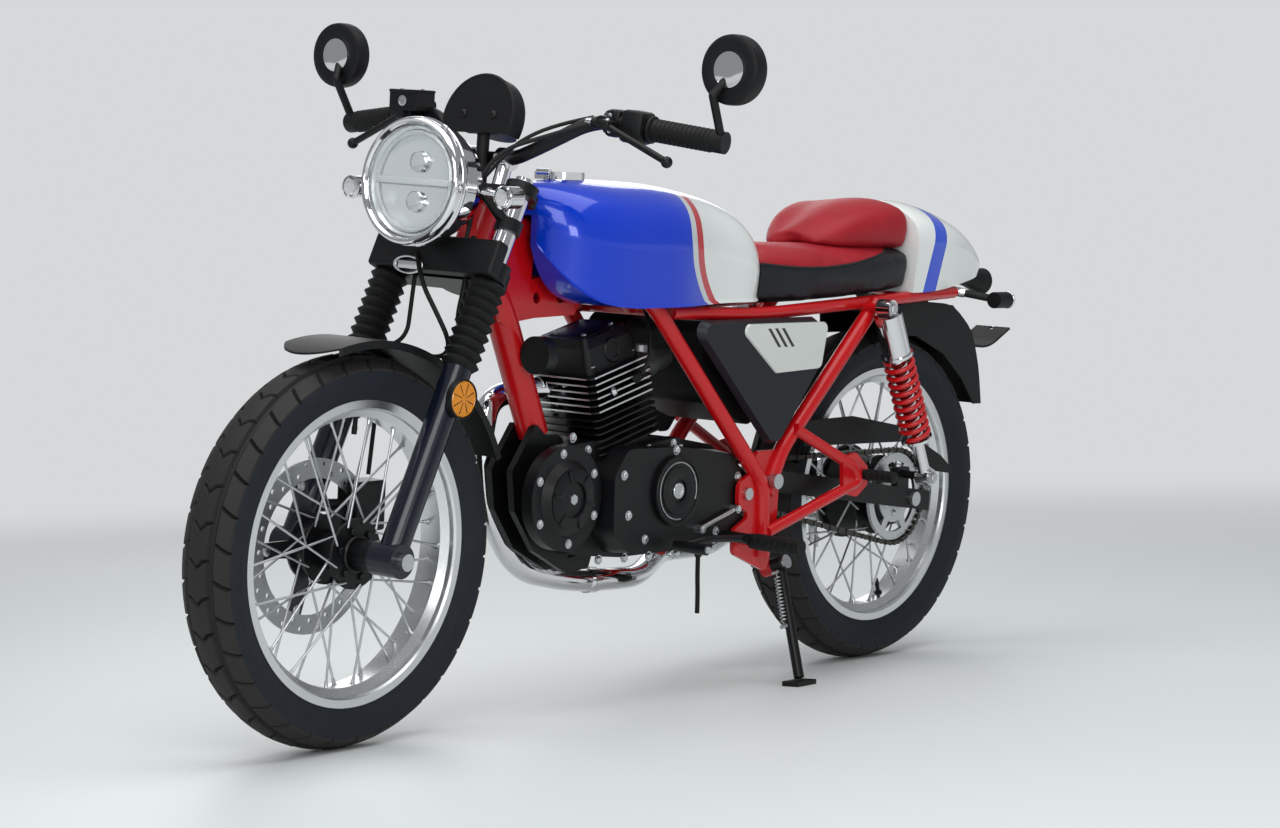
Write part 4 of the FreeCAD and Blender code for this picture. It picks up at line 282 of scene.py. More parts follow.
def cowl_colours(tree, x, y, z):
    ahead = formula(tree, ("ADD", x, ("MULTIPLY", ("SUBTRACT", z, 693.0), 0.2)))
    return bands(tree, ahead, -400.0, 200.0, [(-400, "#e4e8e6"), (-54, "#2a50cf"), (-12, "#e4e8e6")])


def insert_colours(tree, x, y, z):
    slant = formula(tree, ("SUBTRACT", x, ("MULTIPLY", z, 0.95)))
    dark = "LESS_THAN", ("FRACT", ("DIVIDE", ("ADD", slant, 162.0), 19.0)), 0.46
    inside = "MULTIPLY", ("GREATER_THAN", slant, -162.0), ("LESS_THAN", slant, -105.0)
    tall = "MULTIPLY", ("GREATER_THAN", z, 590.0), ("LESS_THAN", z, 622.0)
    outside = "GREATER_THAN", ("ABSOLUTE", y), 100.0
    mask = formula(tree, ("MULTIPLY", ("MULTIPLY", dark, inside), ("MULTIPLY", tall, outside)))
    return add(tree, "ShaderNodeMix", {"Factor": mask, 6: linear("#c9cdc9"), 7: linear("#17181b")},
               data_type="RGBA").outputs[2]


TANK_LACQUER = lacquer("striped_tank_lacquer", tank_colours, 0.1)
COWL_LACQUER = lacquer("striped_cowl_lacquer", cowl_colours)
INSERT_LACQUER = lacquer("barred_insert_lacquer", insert_colours)
print("three lacquers")

# %% [markdown]
# The seat is sewn from two vinyls, red on top and near-black down the sides, and the joint
# is a sunken seam with a row of stitches.  The seam's height follows a shallow dip along
# the seat, which is what the eye reads as the seat's shape from the side.
# %% Sewn seat vinyl
SEAM_X, SEAM_Z, SEAM_DIP = 330.0, 722.0, 0.0005


def seat_vinyl(name, two_tone):
    material, tree, shader = finish(name, "#a01a26", 0.0, 0.55, **DULL)
    x, y, z, at = in_space(tree, TO_BIKE)
    pebble = add(tree, "ShaderNodeTexVoronoi", {"Scale": 0.55, "Vector": at}).outputs["Distance"]
    colour, cloudy = mottled(tree, at, 0.02, 3.0, "#8c131e", "#a51d29")
    height = "MULTIPLY", pebble, 0.5
    if two_tone:
        along = formula(tree, ("SUBTRACT", x, SEAM_X))
        dip = "MULTIPLY", ("MULTIPLY", along, along), SEAM_DIP
        above = formula(tree, ("SUBTRACT", ("SUBTRACT", z, SEAM_Z), dip))
        red = formula(tree, ("GREATER_THAN", above, 0.0))
        colour = add(tree, "ShaderNodeMix", {"Factor": red, 6: linear("#171a1f"), 7: colour},
                     data_type="RGBA").outputs[2]
        groove = "MAXIMUM", ("SUBTRACT", 1.0, ("DIVIDE", ("ABSOLUTE", above), 2.2)), 0.0
        row = "LESS_THAN", ("ABSOLUTE", ("SUBTRACT", above, 5.0)), 0.7
        stitch = "LESS_THAN", ("FRACT", ("DIVIDE", x, 6.0)), 0.62
        height = "SUBTRACT", height, ("MULTIPLY", groove, 4.0)
        height = "ADD", height, ("MULTIPLY", ("MULTIPLY", row, stitch), 1.2)
    tree.links.new(colour, shader.inputs["Base Color"])
    wear(tree, shader, formula(tree, height), 0.7, 0.4, cloudy, 0.44, 0.6)
    return material


SEAT_VINYL = seat_vinyl("two_tone_seat_vinyl", True)
HUMP_VINYL = seat_vinyl("red_hump_vinyl", False)
print("seat vinyls")

# %% [markdown]
# The cylinder's fins are cast black, then the edges of the top ones are machined bare.  In
# the tilted space of the cylinder the bare metal is wherever the surface lies at the fins'
# outer edge, so the mask follows the casting, not the view.  The brake disc is a ring ground
# bright on a black carrier, told apart by the distance to the axle.
# %% Half bare metals
def half_bare(name, space, roughness, dark, light, mask_and_wear, **extra):
    material, tree, shader = finish(name, dark, 0.0, roughness, **extra)
    bare, *marks = mask_and_wear(tree, *in_space(tree, space))
    mix = add(tree, "ShaderNodeMix", {"Factor": bare, 6: linear(dark), 7: linear(light)}, data_type="RGBA")
    tree.links.new(mix.outputs[2], shader.inputs["Base Color"])
    tree.links.new(bare, shader.inputs["Metallic"])
    wear(tree, shader, *marks)
    return material


def fin_edges(tree, x, y, z, at):
    wide, long = ("GREATER_THAN", ("ABSOLUTE", y), 73.4), ("GREATER_THAN", ("ABSOLUTE", x), 77.4)
    high = "MULTIPLY", ("GREATER_THAN", z, 75.0), ("LESS_THAN", z, 139.0)
    bare = formula(tree, ("MULTIPLY", ("MAXIMUM", wide, long), high))
    fine = add(tree, "ShaderNodeTexNoise", {"Scale": 1.2, "Detail": 3.0, "Vector": at}).outputs["Fac"]
    return bare, fine, 0.6, 0.05, fine, 0.34, 0.48


def disc_ring(tree, x, y, z, at):
    radius = formula(tree, apart(x, z))
    bare = formula(tree, ("GREATER_THAN", radius, 103.5))
    grinding = formula(tree, ("SINE", ("MULTIPLY", radius, 2 * pi / 0.9)))
    worn = add(tree, "ShaderNodeTexNoise", {"Scale": 0.06, "Detail": 3.0, "Vector": at}).outputs["Fac"]
    return bare, grinding, 0.4, 0.02, worn, 0.28, 0.46


FIN_METAL = half_bare("machined_fin_edges", TO_CYLINDER, 0.4, "#0a0b0d", "#d8dadb", fin_edges, **DULL)
DISC_METAL = half_bare("black_carrier_and_ground_ring", TO_FRONT_WHEEL, 0.34, "#131418", "#a4a6a8",
                       disc_ring)
print(len(bpy.data.materials), "finishes in all")

# %% [markdown]
# The construction nodes whose shape is right keep their mesh and get these finishes.
# %% Finishes on the construction nodes
WORN_BY = (
    (FRAME_RED, "frame shock_springs"),
    (ENGINE_BLACK, "crankcase engine_covers brake_plate rear_hub front_hub"),
    (FIN_METAL, "cylinder cylinder_head"),
    (MOULDED_BLACK, "airbox rear_mudguard tail_lamp rear_indicators chain_guard fork_cover gauge "
                    "mirrors front_mudguard reflectors"),
    (CAST_ALLOY, "carburettor"),
    (CHROME, "header_pipe muffler fuel_cap shock_bodies fork_tubes headlamp_bowl bar_clamps "
             "front_indicators"),
    (TANK_LACQUER, "fuel_tank"), (COWL_LACQUER, "tail_cowl"), (INSERT_LACQUER, "side_panels"),
    (COVER_GREY, "side_covers"), (SEAT_VINYL, "seat"), (HUMP_VINYL, "hump_pad"),
    (BLACK_PAINT, "swingarm foot_controls horn fork_clamps handlebar hand_controls "
                  "front_caliper side_stand"),
    (ZINC_STEEL, "axle_bolts rear_spokes rear_sprocket front_spokes front_axle"),
    (DARK_STEEL, "chain"), (DISC_METAL, "front_disc"), (FORK_BLUE_BLACK, "fork_legs"),
    (SOFT_RUBBER, "control_cables foot_pegs breather_hose fork_gaiters grips"),
    (REAR_RUBBER, "rear_tyre"), (FRONT_RUBBER, "front_tyre"),
    (RIM_ALLOY, "rear_rim front_rim"), (CLEAR, "headlamp_lens"),
)
for material, nodes in WORN_BY:
    for node in nodes.split():
        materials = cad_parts[node].data.materials
        materials.clear()
        materials.append(material)
print(sum(len(nodes.split()) for material, nodes in WORN_BY), "nodes have their finish")


def aligned(at, towards):
    # a matrix that carries the Z axis to a direction and the origin to a place
    return Matrix.Translation(at) @ Vector(towards).to_track_quat("Z", "Y").to_matrix().to_4x4()


def circle(centre, r, turns):
    # each angle in degrees, as radians and as a place on a circle about a crosswise axis
    for turn in turns:
        a = radians(turn)
        yield a, Vector(centre) + Vector((cos(a), 0, sin(a))) * r


def steps_of(count, first=0):
    return [360 / count * i + first for i in range(count)]


def lathe(bm, profile, at=(0, 0, 0), towards=Y, steps=48):
    # a profile of (radius, height) spun about an axis
    before = set(bm.verts)

    def new_ones():
        return [vert for vert in bm.verts if vert not in before]

    points = [bm.verts.new((r, 0, h)) for r, h in profile]
    edges = [bm.edges.new(pair) for pair in zip(points[:-1], points[1:])]
    bmesh.ops.spin(bm, geom=points + edges, cent=(0, 0, 0), axis=Z, angle=2 * pi, steps=steps,
                   use_merge=True)
    bmesh.ops.remove_doubles(bm, verts=new_ones(), dist=0.01)
    bmesh.ops.transform(bm, matrix=aligned(at, towards), verts=new_ones())


def hoop(bm, r, wire_r, matrix, arc=360, steps=48):
    # on an empty mesh: round wire bent about an axis
    bmesh.ops.create_circle(bm, cap_ends=False, segments=8, radius=wire_r,
                            matrix=Matrix.Translation((r, 0, 0)) @ Matrix.Rotation(radians(90), 4, "X"))
    bmesh.ops.spin(bm, geom=bm.verts[:] + bm.edges[:], cent=(0, 0, 0), axis=Z, angle=radians(arc),
                   steps=steps, use_merge=arc == 360)
    if arc < 360:
        close_ends(bm)
    bmesh.ops.remove_doubles(bm, verts=bm.verts[:], dist=0.01)
    bmesh.ops.transform(bm, matrix=matrix, verts=bm.verts[:])


def close_ends(bm):
    bmesh.ops.holes_fill(bm, edges=[e for e in bm.edges if e.is_boundary])


def thicken(bm, wall):
    bmesh.ops.recalc_face_normals(bm, faces=bm.faces[:])
    bmesh.ops.solidify(bm, geom=bm.faces[:], thickness=wall)


def drum(bm, a, b, ra, rb=None, sides=20):
    # a cylinder or cone between two points
    a, b = Vector(a), Vector(b)
    bmesh.ops.create_cone(bm, cap_ends=True, segments=sides, radius1=ra, radius2=rb or ra,
                          depth=(b - a).length, matrix=aligned((a + b) / 2, b - a))


def block(bm, at, size, edge=1.0, turn=Matrix.Identity(4)):
    # a box with rounded edges
    matrix = Matrix.Translation(at) @ turn @ Matrix.Diagonal((*size, 1.0))
    made = bmesh.ops.create_cube(bm, size=1.0, matrix=matrix)
    edges = list(dict.fromkeys(e for v in made["verts"] for e in v.link_edges))
    bmesh.ops.bevel(bm, geom=edges, offset=edge, affect="EDGES", segments=2, profile=0.5, material=-1)


def hex_bolt(bm, at, towards, r=5.0, head=4.0, washer=True):
    # a bolt head with a chamfered top, on a washer
    at, d = Vector(at), Vector(towards).normalized()
    if washer:
        drum(bm, at - d, at + d * 1.2, r * 1.55)
    drum(bm, at, at + d * head * 0.8, r * 1.15, sides=6)
    drum(bm, at + d * head * 0.8, at + d * head, r * 1.15, r * 0.95, sides=6)


def settle(name, bm, body, material, sharp=38, space=None, weld=0.01):
    bmesh.ops.remove_doubles(bm, verts=bm.verts[:], dist=weld)
    bmesh.ops.recalc_face_normals(bm, faces=bm.faces[:])
    bmesh.ops.transform(bm, matrix=space or PLACES[body], verts=bm.verts[:])
    mesh = bpy.data.meshes.new(name)
    bm.to_mesh(mesh)
    bm.free()
    mesh.materials.append(material)
    mesh.shade_smooth()
    mesh.set_sharp_from_angle(angle=radians(sharp))
    piece = bpy.data.objects.new(name, mesh)
    bpy.context.scene.collection.objects.link(piece)
    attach(piece, body)
    print(name, len(mesh.polygons), "faces")
    return piece


def smooth_line(name, points, r, round_steps, steps=12):
    # a NURBS curve that starts and ends in its first and last point
    curve = bpy.data.curves.new(name, "CURVE")
    curve.dimensions = "3D"
    curve.bevel_depth, curve.bevel_resolution, curve.resolution_u = r, round_steps, steps
    curve.use_fill_caps = True
    spline = curve.splines.new("NURBS")
    spline.points.add(len(points) - 1)
    for spot, p in zip(spline.points, points):
        spot.co = (*p, 1.0)
    spline.order_u, spline.use_endpoint_u = 3, True
    line = bpy.data.objects.new(name, curve)
    bpy.context.scene.collection.objects.link(line)
    return line


def hose(name, points, r, body, material, space=None, steps=6):
    # a flexible line held at both ends
    carrier = smooth_line(name + "_route", points, r, 3, steps)
    bpy.context.view_layer.update()
    shape = bpy.data.meshes.new_from_object(carrier.evaluated_get(bpy.context.evaluated_depsgraph_get()))
    bm = bmesh.new()
    bm.from_mesh(shape)
    curve = carrier.data
    bpy.data.objects.remove(carrier)
    bpy.data.meshes.remove(shape)
    bpy.data.curves.remove(curve)
    settle(name, bm, body, material, space=space)


print("helpers ready")

# %% [markdown]
# The tyres carry a scalloped block tread for mixed roads.  A real one is moulded: the mould
# has ribs, the ribs leave grooves.  Here the carcass is turned at the depth of the grooves
# and each block is raised from it, tapered like a moulded block, so the grooves are what
# is left over.  Every second row is half a block further on, and the blocks lean forward
# towards the shoulder.
# %% Block tread tyres
TREAD_DEPTH, RIM_R, BLOCKS, BLOCK_STEPS = 6.0, 231.0, 34, 4


def tread_tyre(name, node, body, radius, half_w, material):
    steps = BLOCKS * BLOCK_STEPS
    side_h = radius - RIM_R
    edge_r, edge_y = radius - half_w * 0.07 - side_h / 4, half_w * 0.93
    crown = ((radius - edge_r) ** 2 + edge_y ** 2) / (2 * (radius - edge_r))
    spread = asin(edge_y / crown)
    half = [(radius - crown + (crown - TREAD_DEPTH) * cos(spread * share),
             (crown - TREAD_DEPTH) * sin(spread * share)) for share in (0.0, 0.2, 0.42, 0.5, 0.76, 0.97)]
    shoulder_r = edge_r - 6.0
    half += [(shoulder_r, half_w * 0.955), (RIM_R + side_h * 0.40, half_w * 0.985),
             (RIM_R + side_h * 0.24, half_w * 0.9), (RIM_R + 6.0, 38.5), (RIM_R + 0.6, 36.5),
             (RIM_R - 4, 33.0), (RIM_R - 10, 31.0)]
    profile = [(r, -y) for r, y in reversed(half)] + half[1:]
    bm = bmesh.new()
    lathe(bm, profile + [profile[0]], steps=steps)
    bmesh.ops.recalc_face_normals(bm, faces=bm.faces[:])
    inner, outer, edge = half[2][1], half[3][1], half[6][1]
    blocks = {}
    for face in bm.faces:
        mid = face.calc_center_median()
        wide = abs(mid.y)
        if wide > edge or hypot(mid.x, mid.z) < shoulder_r or inner < wide < outer:
            continue
        row = wide >= inner
        step = round(atan2(mid.z, mid.x) / (2 * pi) * steps - 0.5) + (BLOCK_STEPS // 2 if row else 0)
        blocks.setdefault((row, mid.y > 0 and row, step // BLOCK_STEPS % BLOCKS), []).append(face)
    for vert in bm.verts:
        wide = abs(vert.co.y) / edge_y
        if hypot(vert.co.x, vert.co.z) > shoulder_r - 8:
            swing = 0.035 * sin(wide * pi * 1.5) + 0.03 * wide
            vert.co.rotate(Matrix.Rotation(-swing, 4, "Y"))
    for faces in blocks.values():
        bmesh.ops.inset_region(bm, faces=faces, thickness=3.2, depth=TREAD_DEPTH, use_even_offset=True)
    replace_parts(settle(name, bm, body, material, sharp=35), node)


tread_tyre("front_block_tyre", "front_tyre", "front_wheel", FRONT_R, 50.0, FRONT_RUBBER)
tread_tyre("rear_block_tyre", "rear_tyre", "rear_wheel", REAR_R, 55.0, REAR_RUBBER)

# %% [markdown]
# Each spoke is laced into the rim by a plated nipple.  The nipples sit proud of the rim
# well and catch the light one after another.  The brake disc hangs on button bolts.
# %% Nipples, disc bolts, hub fittings
def nipples(name, body, hub_y, left_r, right_r):
    # hub_y and the radii are where the spokes hook into the hub's flanges
    bm = bmesh.new()
    for side, hub_r in ((1, left_r), (-1, right_r)):
        for i in range(18):
            kind = 1 if i % 2 else -1
            a = radians(20.0 * (i + (side - 1) / 4.0))
            b = a + kind * radians(42.0)
            start = Vector((hub_r * cos(a), side * hub_y + kind * 4.6, hub_r * sin(a)))
            stop = Vector((206.8 * cos(b), side * 8.0, 206.8 * sin(b)))
            along = (stop - start).normalized()
            drum(bm, stop - along * 13, stop + along * 2, 2.7, 3.5, sides=8)
            drum(bm, stop - along * 3, stop + along * 1.5, 5.2, sides=10)
    settle(name, bm, body, ZINC_STEEL)


nipples("front_nipples", "front_wheel", 30.5, 47.0, 47.0)
nipples("rear_nipples", "rear_wheel", 35.5, 67.0, 78.6)

bm = bmesh.new()
for a, spot in circle((0, -61.8, 0), 43, steps_of(5, 36)):
    hex_bolt(bm, spot, -Y, 4.2, 2.6, washer=False)
for a, spot in circle((0, -62.0, 0), 98, steps_of(5, 72)):
    lathe(bm, [(0, 1.4), (6.6, 1.4), (7.6, 0.6), (7.6, -5.4), (6.6, -6.0), (0, -6.0)], spot, -Y, 16)
settle("disc_bolts", bm, "front_wheel", ZINC_STEEL)

bm = bmesh.new()
for a, spot in circle((0, 32.8, 0), 36, steps_of(6, 12)):
    hex_bolt(bm, spot, Y, 5.4, 5.0)
lathe(bm, [(30, -1), (30, 2.4), (27.5, 5), (25, 5), (24.3, 3)], (0, 33, 0), Y, 40)
for y in (25.5, -30.5):
    lathe(bm, [(52.2, -0.5), (53.6, 1.0), (53.6, 4.0), (52.2, 5.5)], (0, y, 0))
settle("front_hub_fittings", bm, "front_wheel", BLACK_PAINT)

# %% [markdown]
# A drive chain is plates and rollers, alternating inner and outer links on a 12.7 mm pitch.
# Each link is set along the belt line: two straight runs and an arc around each sprocket.
# %% Drive chain
CHAIN_Y, LINKS, PITCH = 72, 110, 12.7
BIG, BIG_R = Vector((0, CHAIN_Y, REAR_R)), 84.97
SMALL, SMALL_R = Vector((504.8, CHAIN_Y, 361.9)), 30.54


def belt_walk(count):
    # places at equal steps along the belt line
    across = SMALL - BIG
    lean, opening = atan2(across.z, across.x), acos((BIG_R - SMALL_R) / across.length)
    run = sqrt(across.length ** 2 - (BIG_R - SMALL_R) ** 2)
    arc = 2 * opening * SMALL_R
    total = 2 * run + arc + (2 * pi - 2 * opening) * BIG_R
    for i in range(count):
        s = total * i / count
        if s < run:
            centre, r, turn, slid = BIG, BIG_R, lean + opening, s
        elif s < run + arc:
            centre, r, turn, slid = SMALL, SMALL_R, lean + opening - (s - run) / SMALL_R, 0
        elif s < 2 * run + arc:
            centre, r, turn, slid = SMALL, SMALL_R, lean - opening, s - run - arc
        else:
            centre, r, turn, slid = BIG, BIG_R, lean - opening - (s - 2 * run - arc) / BIG_R, 0
        yield centre + Vector((cos(turn), 0, sin(turn))) * r + Vector((sin(turn), 0, -cos(turn))) * slid


walk = list(belt_walk(LINKS))
bm = bmesh.new()
for i, spot in enumerate(walk):
    following = walk[(i + 1) % LINKS]
    for side in (-1, 1):
        shift = Y * side * (6.9 if i % 2 else 4.9)
        for end in (spot, following):
            drum(bm, end + shift - Y * 0.6, end + shift + Y * 0.6, 4.6, sides=10)
        towards = (following - spot).normalized()
        turn = Matrix.Rotation(-atan2(towards.z, towards.x), 4, "Y")
        middle = Matrix.Translation((spot + following) / 2 + shift)
        bmesh.ops.create_cube(bm, size=1.0, matrix=middle @ turn @ Matrix.Diagonal((PITCH, 1.1, 6.6, 1.0)))
    drum(bm, spot - Y * 4.2, spot + Y * 4.2, 3.9, sides=8)
    drum(bm, spot - Y * 7.4, spot + Y * 7.4, 1.9, sides=6)
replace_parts(settle("roller_chain", bm, "chassis", DARK_STEEL, sharp=30, weld=0.0001), "chain")

bm = bmesh.new()
for a, spot in circle((0, CHAIN_Y, 0), 77.2, steps_of(42)):
    out = Vector((cos(a), 0, sin(a)))
    drum(bm, spot - out * 3, spot + out * 3.1, 3.9, 1.7, sides=6)
for a, spot in circle((0, 74.8, 0), 30, steps_of(6, 30)):
    hex_bolt(bm, spot, Y, 4.6, 3.0)
settle("sprocket_teeth_and_bolts", bm, "rear_wheel", ZINC_STEEL)

# %% [markdown]
# The head lamp is a chromed steel bowl with a double bezel.  Behind its clear lens a round
# reflector carries a bright horizontal bar.  The lens is a thin dome, so it shows the
# reflector and still takes highlights of its own.
# %% Head lamp
LAMP = TO_FORK @ shifted((1217.7, 0, 853.2), -5)
bm = bmesh.new()
lathe(bm, [(87.0, -5), (87.6, 0.5), (90.0, 3.6), (93.0, 4.2), (96.0, 2.2), (97.4, -2.0), (96.6, -7.0)],
      towards=X, steps=72)
lathe(bm, [(95.4, -14.0), (97.8, -15.2), (98.8, -17.6), (97.8, -20.2), (95.4, -21.4)], towards=X, steps=72)
thicken(bm, 1.0)
settle("lamp_bezels", bm, "steering", CHROME, space=LAMP)

bm = bmesh.new()
lathe(bm, [(85.6, -2.0), (84.0, -8.0), (76.0, -13.5), (62.0, -18.0), (44.0, -21.0), (22.0, -22.6), (0, -23.0)],
      towards=X, steps=64)
settle("lamp_reflector", bm, "steering", REFLECTOR, space=LAMP)

bm = bmesh.new()
lathe(bm, [(70.0, -10.0), (73.5, -7.5), (77.0, -9.5), (74.0, -14.0), (70.0, -14.0), (70.0, -10.0)],
      towards=X, steps=64)
block(bm, (-8.5, 0, 0), (7, 146, 11), 1.6)
settle("lamp_light_guide", bm, "steering", LAMP_WHITE, space=LAMP)

bm = bmesh.new()
for rise in (30, -30):
    lathe(bm, [(12, -23), (16, -18), (15, -14), (10, -11.4), (4, -10.4), (0, -10.2)], (0, 0, rise), X, 32)
settle("lamp_diodes", bm, "steering", CHROME, space=LAMP)

bm = bmesh.new()
lathe(bm, [(86, -3), (84.6, 0.6), (78, 3.4), (66, 6.2), (48, 9.2), (25, 11.4), (0, 12.0)], towards=X, steps=72)
thicken(bm, 2.2)
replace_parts(settle("lamp_lens", bm, "steering", CLEAR, space=LAMP, sharp=60), "headlamp_lens")

bm = bmesh.new()
for y in (-1, 1):
    hex_bolt(bm, (-62, y * 84, 0), Y * y, 7.0, 5.0)
    hex_bolt(bm, (-12, y * 52, 82.5), (-1, y * 0.3, 0.4), 3.4, 2.4, washer=False)
settle("lamp_bolts", bm, "steering", ZINC_STEEL, space=LAMP)

# %% [markdown]
# The round instrument leans back under its hood: a black dial with plain strokes and a red
# needle in a chromed ring.
# %% Instrument
GAUGE = TO_FORK @ shifted((1030.3, 0, 927.9), -20)
bm = bmesh.new()
lathe(bm, [(38.4, 36), (39.6, 42), (39.6, 45.5), (37.6, 47.4), (34.8, 47.0), (34.2, 44.6)], towards=Z)
thicken(bm, -0.8)
settle("gauge_ring", bm, "steering", CHROME, space=GAUGE)
bm = bmesh.new()
lathe(bm, [(34.6, 44.6), (34.0, 44.8), (0, 44.8)], towards=Z)
settle("gauge_dial", bm, "steering", DIAL_BLACK, space=GAUGE)
bm = bmesh.new()
for i in range(33):
    turn = radians(-130 + 260 * i / 32)
    tall, wide = (2.2, 0.5) if i % 4 else (4.4, 0.9)
    r = tall / 2 - 31.5
    block(bm, (r * cos(turn), r * sin(turn), 45.1), (tall, wide, 0.4), 0.1, Matrix.Rotation(turn, 4, "Z"))
settle("gauge_strokes", bm, "steering", LAMP_WHITE, space=GAUGE)
bm = bmesh.new()
block(bm, (5, 10, 46.0), (2.0, 26, 0.7), 0.2, Matrix.Rotation(radians(24), 4, "Z"))
drum(bm, (0, 0, 45), (0, 0, 46.9), 3.6, 3.0)
settle("gauge_needle", bm, "steering", LAMP_RED, space=GAUGE)

# %% [markdown]
# The mirrors are round black shells.  Their backs, which face the camera, are dished and
# carry a small chromed disc in the middle; the glass is on the rider's side.
# %% Mirrors
bm, backs, glasses = bmesh.new(), bmesh.new(), bmesh.new()
for side in (-1, 1):
    head = Vector((954.2, side * 402, 1042.2))
    lathe(bm, [(27.4, 12.0), (27.0, 14.6), (24.0, 15.6), (12, 16.6), (0, 17.0)], head, X)
    lathe(backs, [(0, 11.2), (27, 11.8), (30, 13.6), (41, 14.6), (47.6, 14.2), (51.4, 12.2), (53.0, 6.0),
                  (53.0, -8.0), (52.0, -12.2), (49.5, -13.4), (47.8, -11.6)], head, X, 56)
    lathe(glasses, [(48.4, 11.4), (40, 12.2), (20, 12.8), (0, 13.0)], head, -X, 56)
settle("mirror_discs", bm, "steering", CHROME)
settle("mirror_shells", backs, "steering", MOULDED_BLACK)
settle("mirror_glasses", glasses, "steering", MIRROR_GLASS)

# %% [markdown]
# The engine's covers are held by flanged bolts left in bare zinc, set where they sit in the
# photograph.  A thin bright ring, broken at its upper front, is turned on the flywheel
# cover, and a small bright cap closes its centre.
# %% Engine bolts, rings and ribs
FLYWHEEL, ROUND_COVER = Vector((672, 111, 358.6)), Vector((917.7, 96, 358.6))
CLUTCH = Vector((640, -108, 346))
bm = bmesh.new()
for y, r, head, spots in (
        (103.4, 5.2, 5.0, ((803, 391), (789, 325), (745, 283), (560, 283), (506, 372), (672, 425))),
        (61.6, 5.2, 5.0, ((745, 248), (683, 246), (810, 250), (610, 244), (846, 430), (884, 452),
                          (842, 300))),
        (82.6, 4.6, 4.2, ((655, 434), (718, 428), (636, 424)))):
    for x, z in spots:
        hex_bolt(bm, (x, y, z), Y, r, head)
for a, spot in circle(ROUND_COVER - Y * 12.4, 73, (25, 80, 150, 205, 265, 330)):
    hex_bolt(bm, spot, Y, 4.8, 4.2)
for x, z in ((560, 400), (640, 430), (790, 425), (880, 390), (880, 322), (800, 276), (590, 276), (526, 330)):
    hex_bolt(bm, (x, -97.4, z), -Y, 5.0, 4.6)
settle("engine_bolts", bm, "chassis", ZINC_STEEL)

bm = bmesh.new()
hoop(bm, 47, 1.3, aligned((672, 111.4, 358.6), Y) @ Matrix.Rotation(radians(-20), 4, "Z"), 300, 60)
lathe(bm, [(13.5, -1), (13.5, 1.6), (12.4, 2.6), (8.0, 2.6), (7.2, 1.8), (0, 1.8)], FLYWHEEL)
drum(bm, ROUND_COVER - Y * 0.4, ROUND_COVER + Y * 3.4, 9.5, 8.6, sides=6)
settle("cover_rings", bm, "chassis", ZINC_STEEL)

bm = bmesh.new()
lathe(bm, [(57.0, -1), (57.0, 1.0), (55.6, 2.2), (52.6, 2.2), (51.6, 0.8), (51.4, -1)], FLYWHEEL, Y, 64)
lathe(bm, [(40.0, -1), (40.0, 1.4), (38.6, 2.6), (20.0, 3.4), (18.8, 2.6), (18.4, -1)], FLYWHEEL)
lathe(bm, [(50.0, -1), (50, 2.0), (47, 3.2), (30, 5.0), (28.4, 4.0), (28.0, -1)], ROUND_COVER)
for a, spot in circle(ROUND_COVER + Y * 3.5, 39, steps_of(6, 12)):
    block(bm, spot, (20, 5, 5), 1.2, Matrix.Rotation(-a, 4, "Y"))
settle("cover_ribs", bm, "chassis", ENGINE_BLACK)

# %% [markdown]
# The rocker box has a smooth cover of its own, two round inspection caps and bolts in lugs.
# A lead to the spark plug and its cap finish the top of the engine.
# %% Rocker box details
LUGS = [(x, y) for x in (-50, 50) for y in (-52, 52)]
bm = bmesh.new()
for x, y in LUGS:
    drum(bm, (x, y, 128), (x, y, 150), 8.2, sides=18)
for side in (-1, 1):
    lathe(bm, [(21, -4), (21, 3), (19, 5), (12, 5), (11, 3.4), (0, 3.4)], (0, side * 56, 165),
          (0, side, 0.1), 32)
block(bm, (0, 0, 193.4), (84, 78, 6), 2.4)
settle("rocker_cover_details", bm, "chassis", ENGINE_BLACK, space=TO_CYLINDER)
bm = bmesh.new()
for x, y in LUGS:
    hex_bolt(bm, (x, y, 150), Z, 5.2, 5.0)
for x, y in ((-34, -31), (34, -31), (-34, 31), (34, 31)):
    hex_bolt(bm, (x, y, 196.2), Z, 4.0, 3.4, washer=False)
for side in (-1, 1):
    drum(bm, (30, side * 73, 104), (26, side * 78, 106), 8.0, 7.0, sides=6)
settle("rocker_bolts", bm, "chassis", ZINC_STEEL, space=TO_CYLINDER)
LEAD = [(-32, 79, 112), (-36, 90, 122), (-60, 88, 150), (-90, 64, 196), (-110, 34, 238)]
hose("spark_plug_lead", LEAD, 3.6, "chassis", SOFT_RUBBER, space=TO_CYLINDER)
bm = bmesh.new()
drum(bm, (-28, 72, 108), (-34, 84, 116), 8.0, 7.0)
settle("spark_plug_cap", bm, "chassis", SOFT_RUBBER, space=TO_CYLINDER)

# %% [markdown]
# The bright gear linkage runs from the toe lever back to the gear shaft with a clevis at
# each end.  The pegs and the toe pieces carry ribbed rubber sleeves.
# %% Gear linkage and peg sleeves
bm = bmesh.new()
drum(bm, (610, 112, 292), (520, 112, 318), 4.0, sides=12)
for spot in (Vector((612, 110, 291.5)), Vector((518, 110, 318.5))):
    drum(bm, spot - Y * 7, spot + Y * 8, 7.4, 7.0, sides=16)
    hex_bolt(bm, spot + Y * 8, Y, 4.4, 4.0)
drum(bm, (518, 98, 318.5), (518, 112, 318.5), 5.0, sides=14)
drum(bm, (684, 186.4, 270), (684, 189.6, 270), 6.4, 5.6)
settle("gear_linkage", bm, "chassis", ZINC_STEEL)


def sleeve_rib(bm, r, rise, half, chamfer, at, steps):
    # one rib of a rubber sleeve: a shallow band with sloped flanks
    lathe(bm, [(r - rise, -half), (r, -chamfer), (r, chamfer), (r - rise, half)], at, Y, steps)


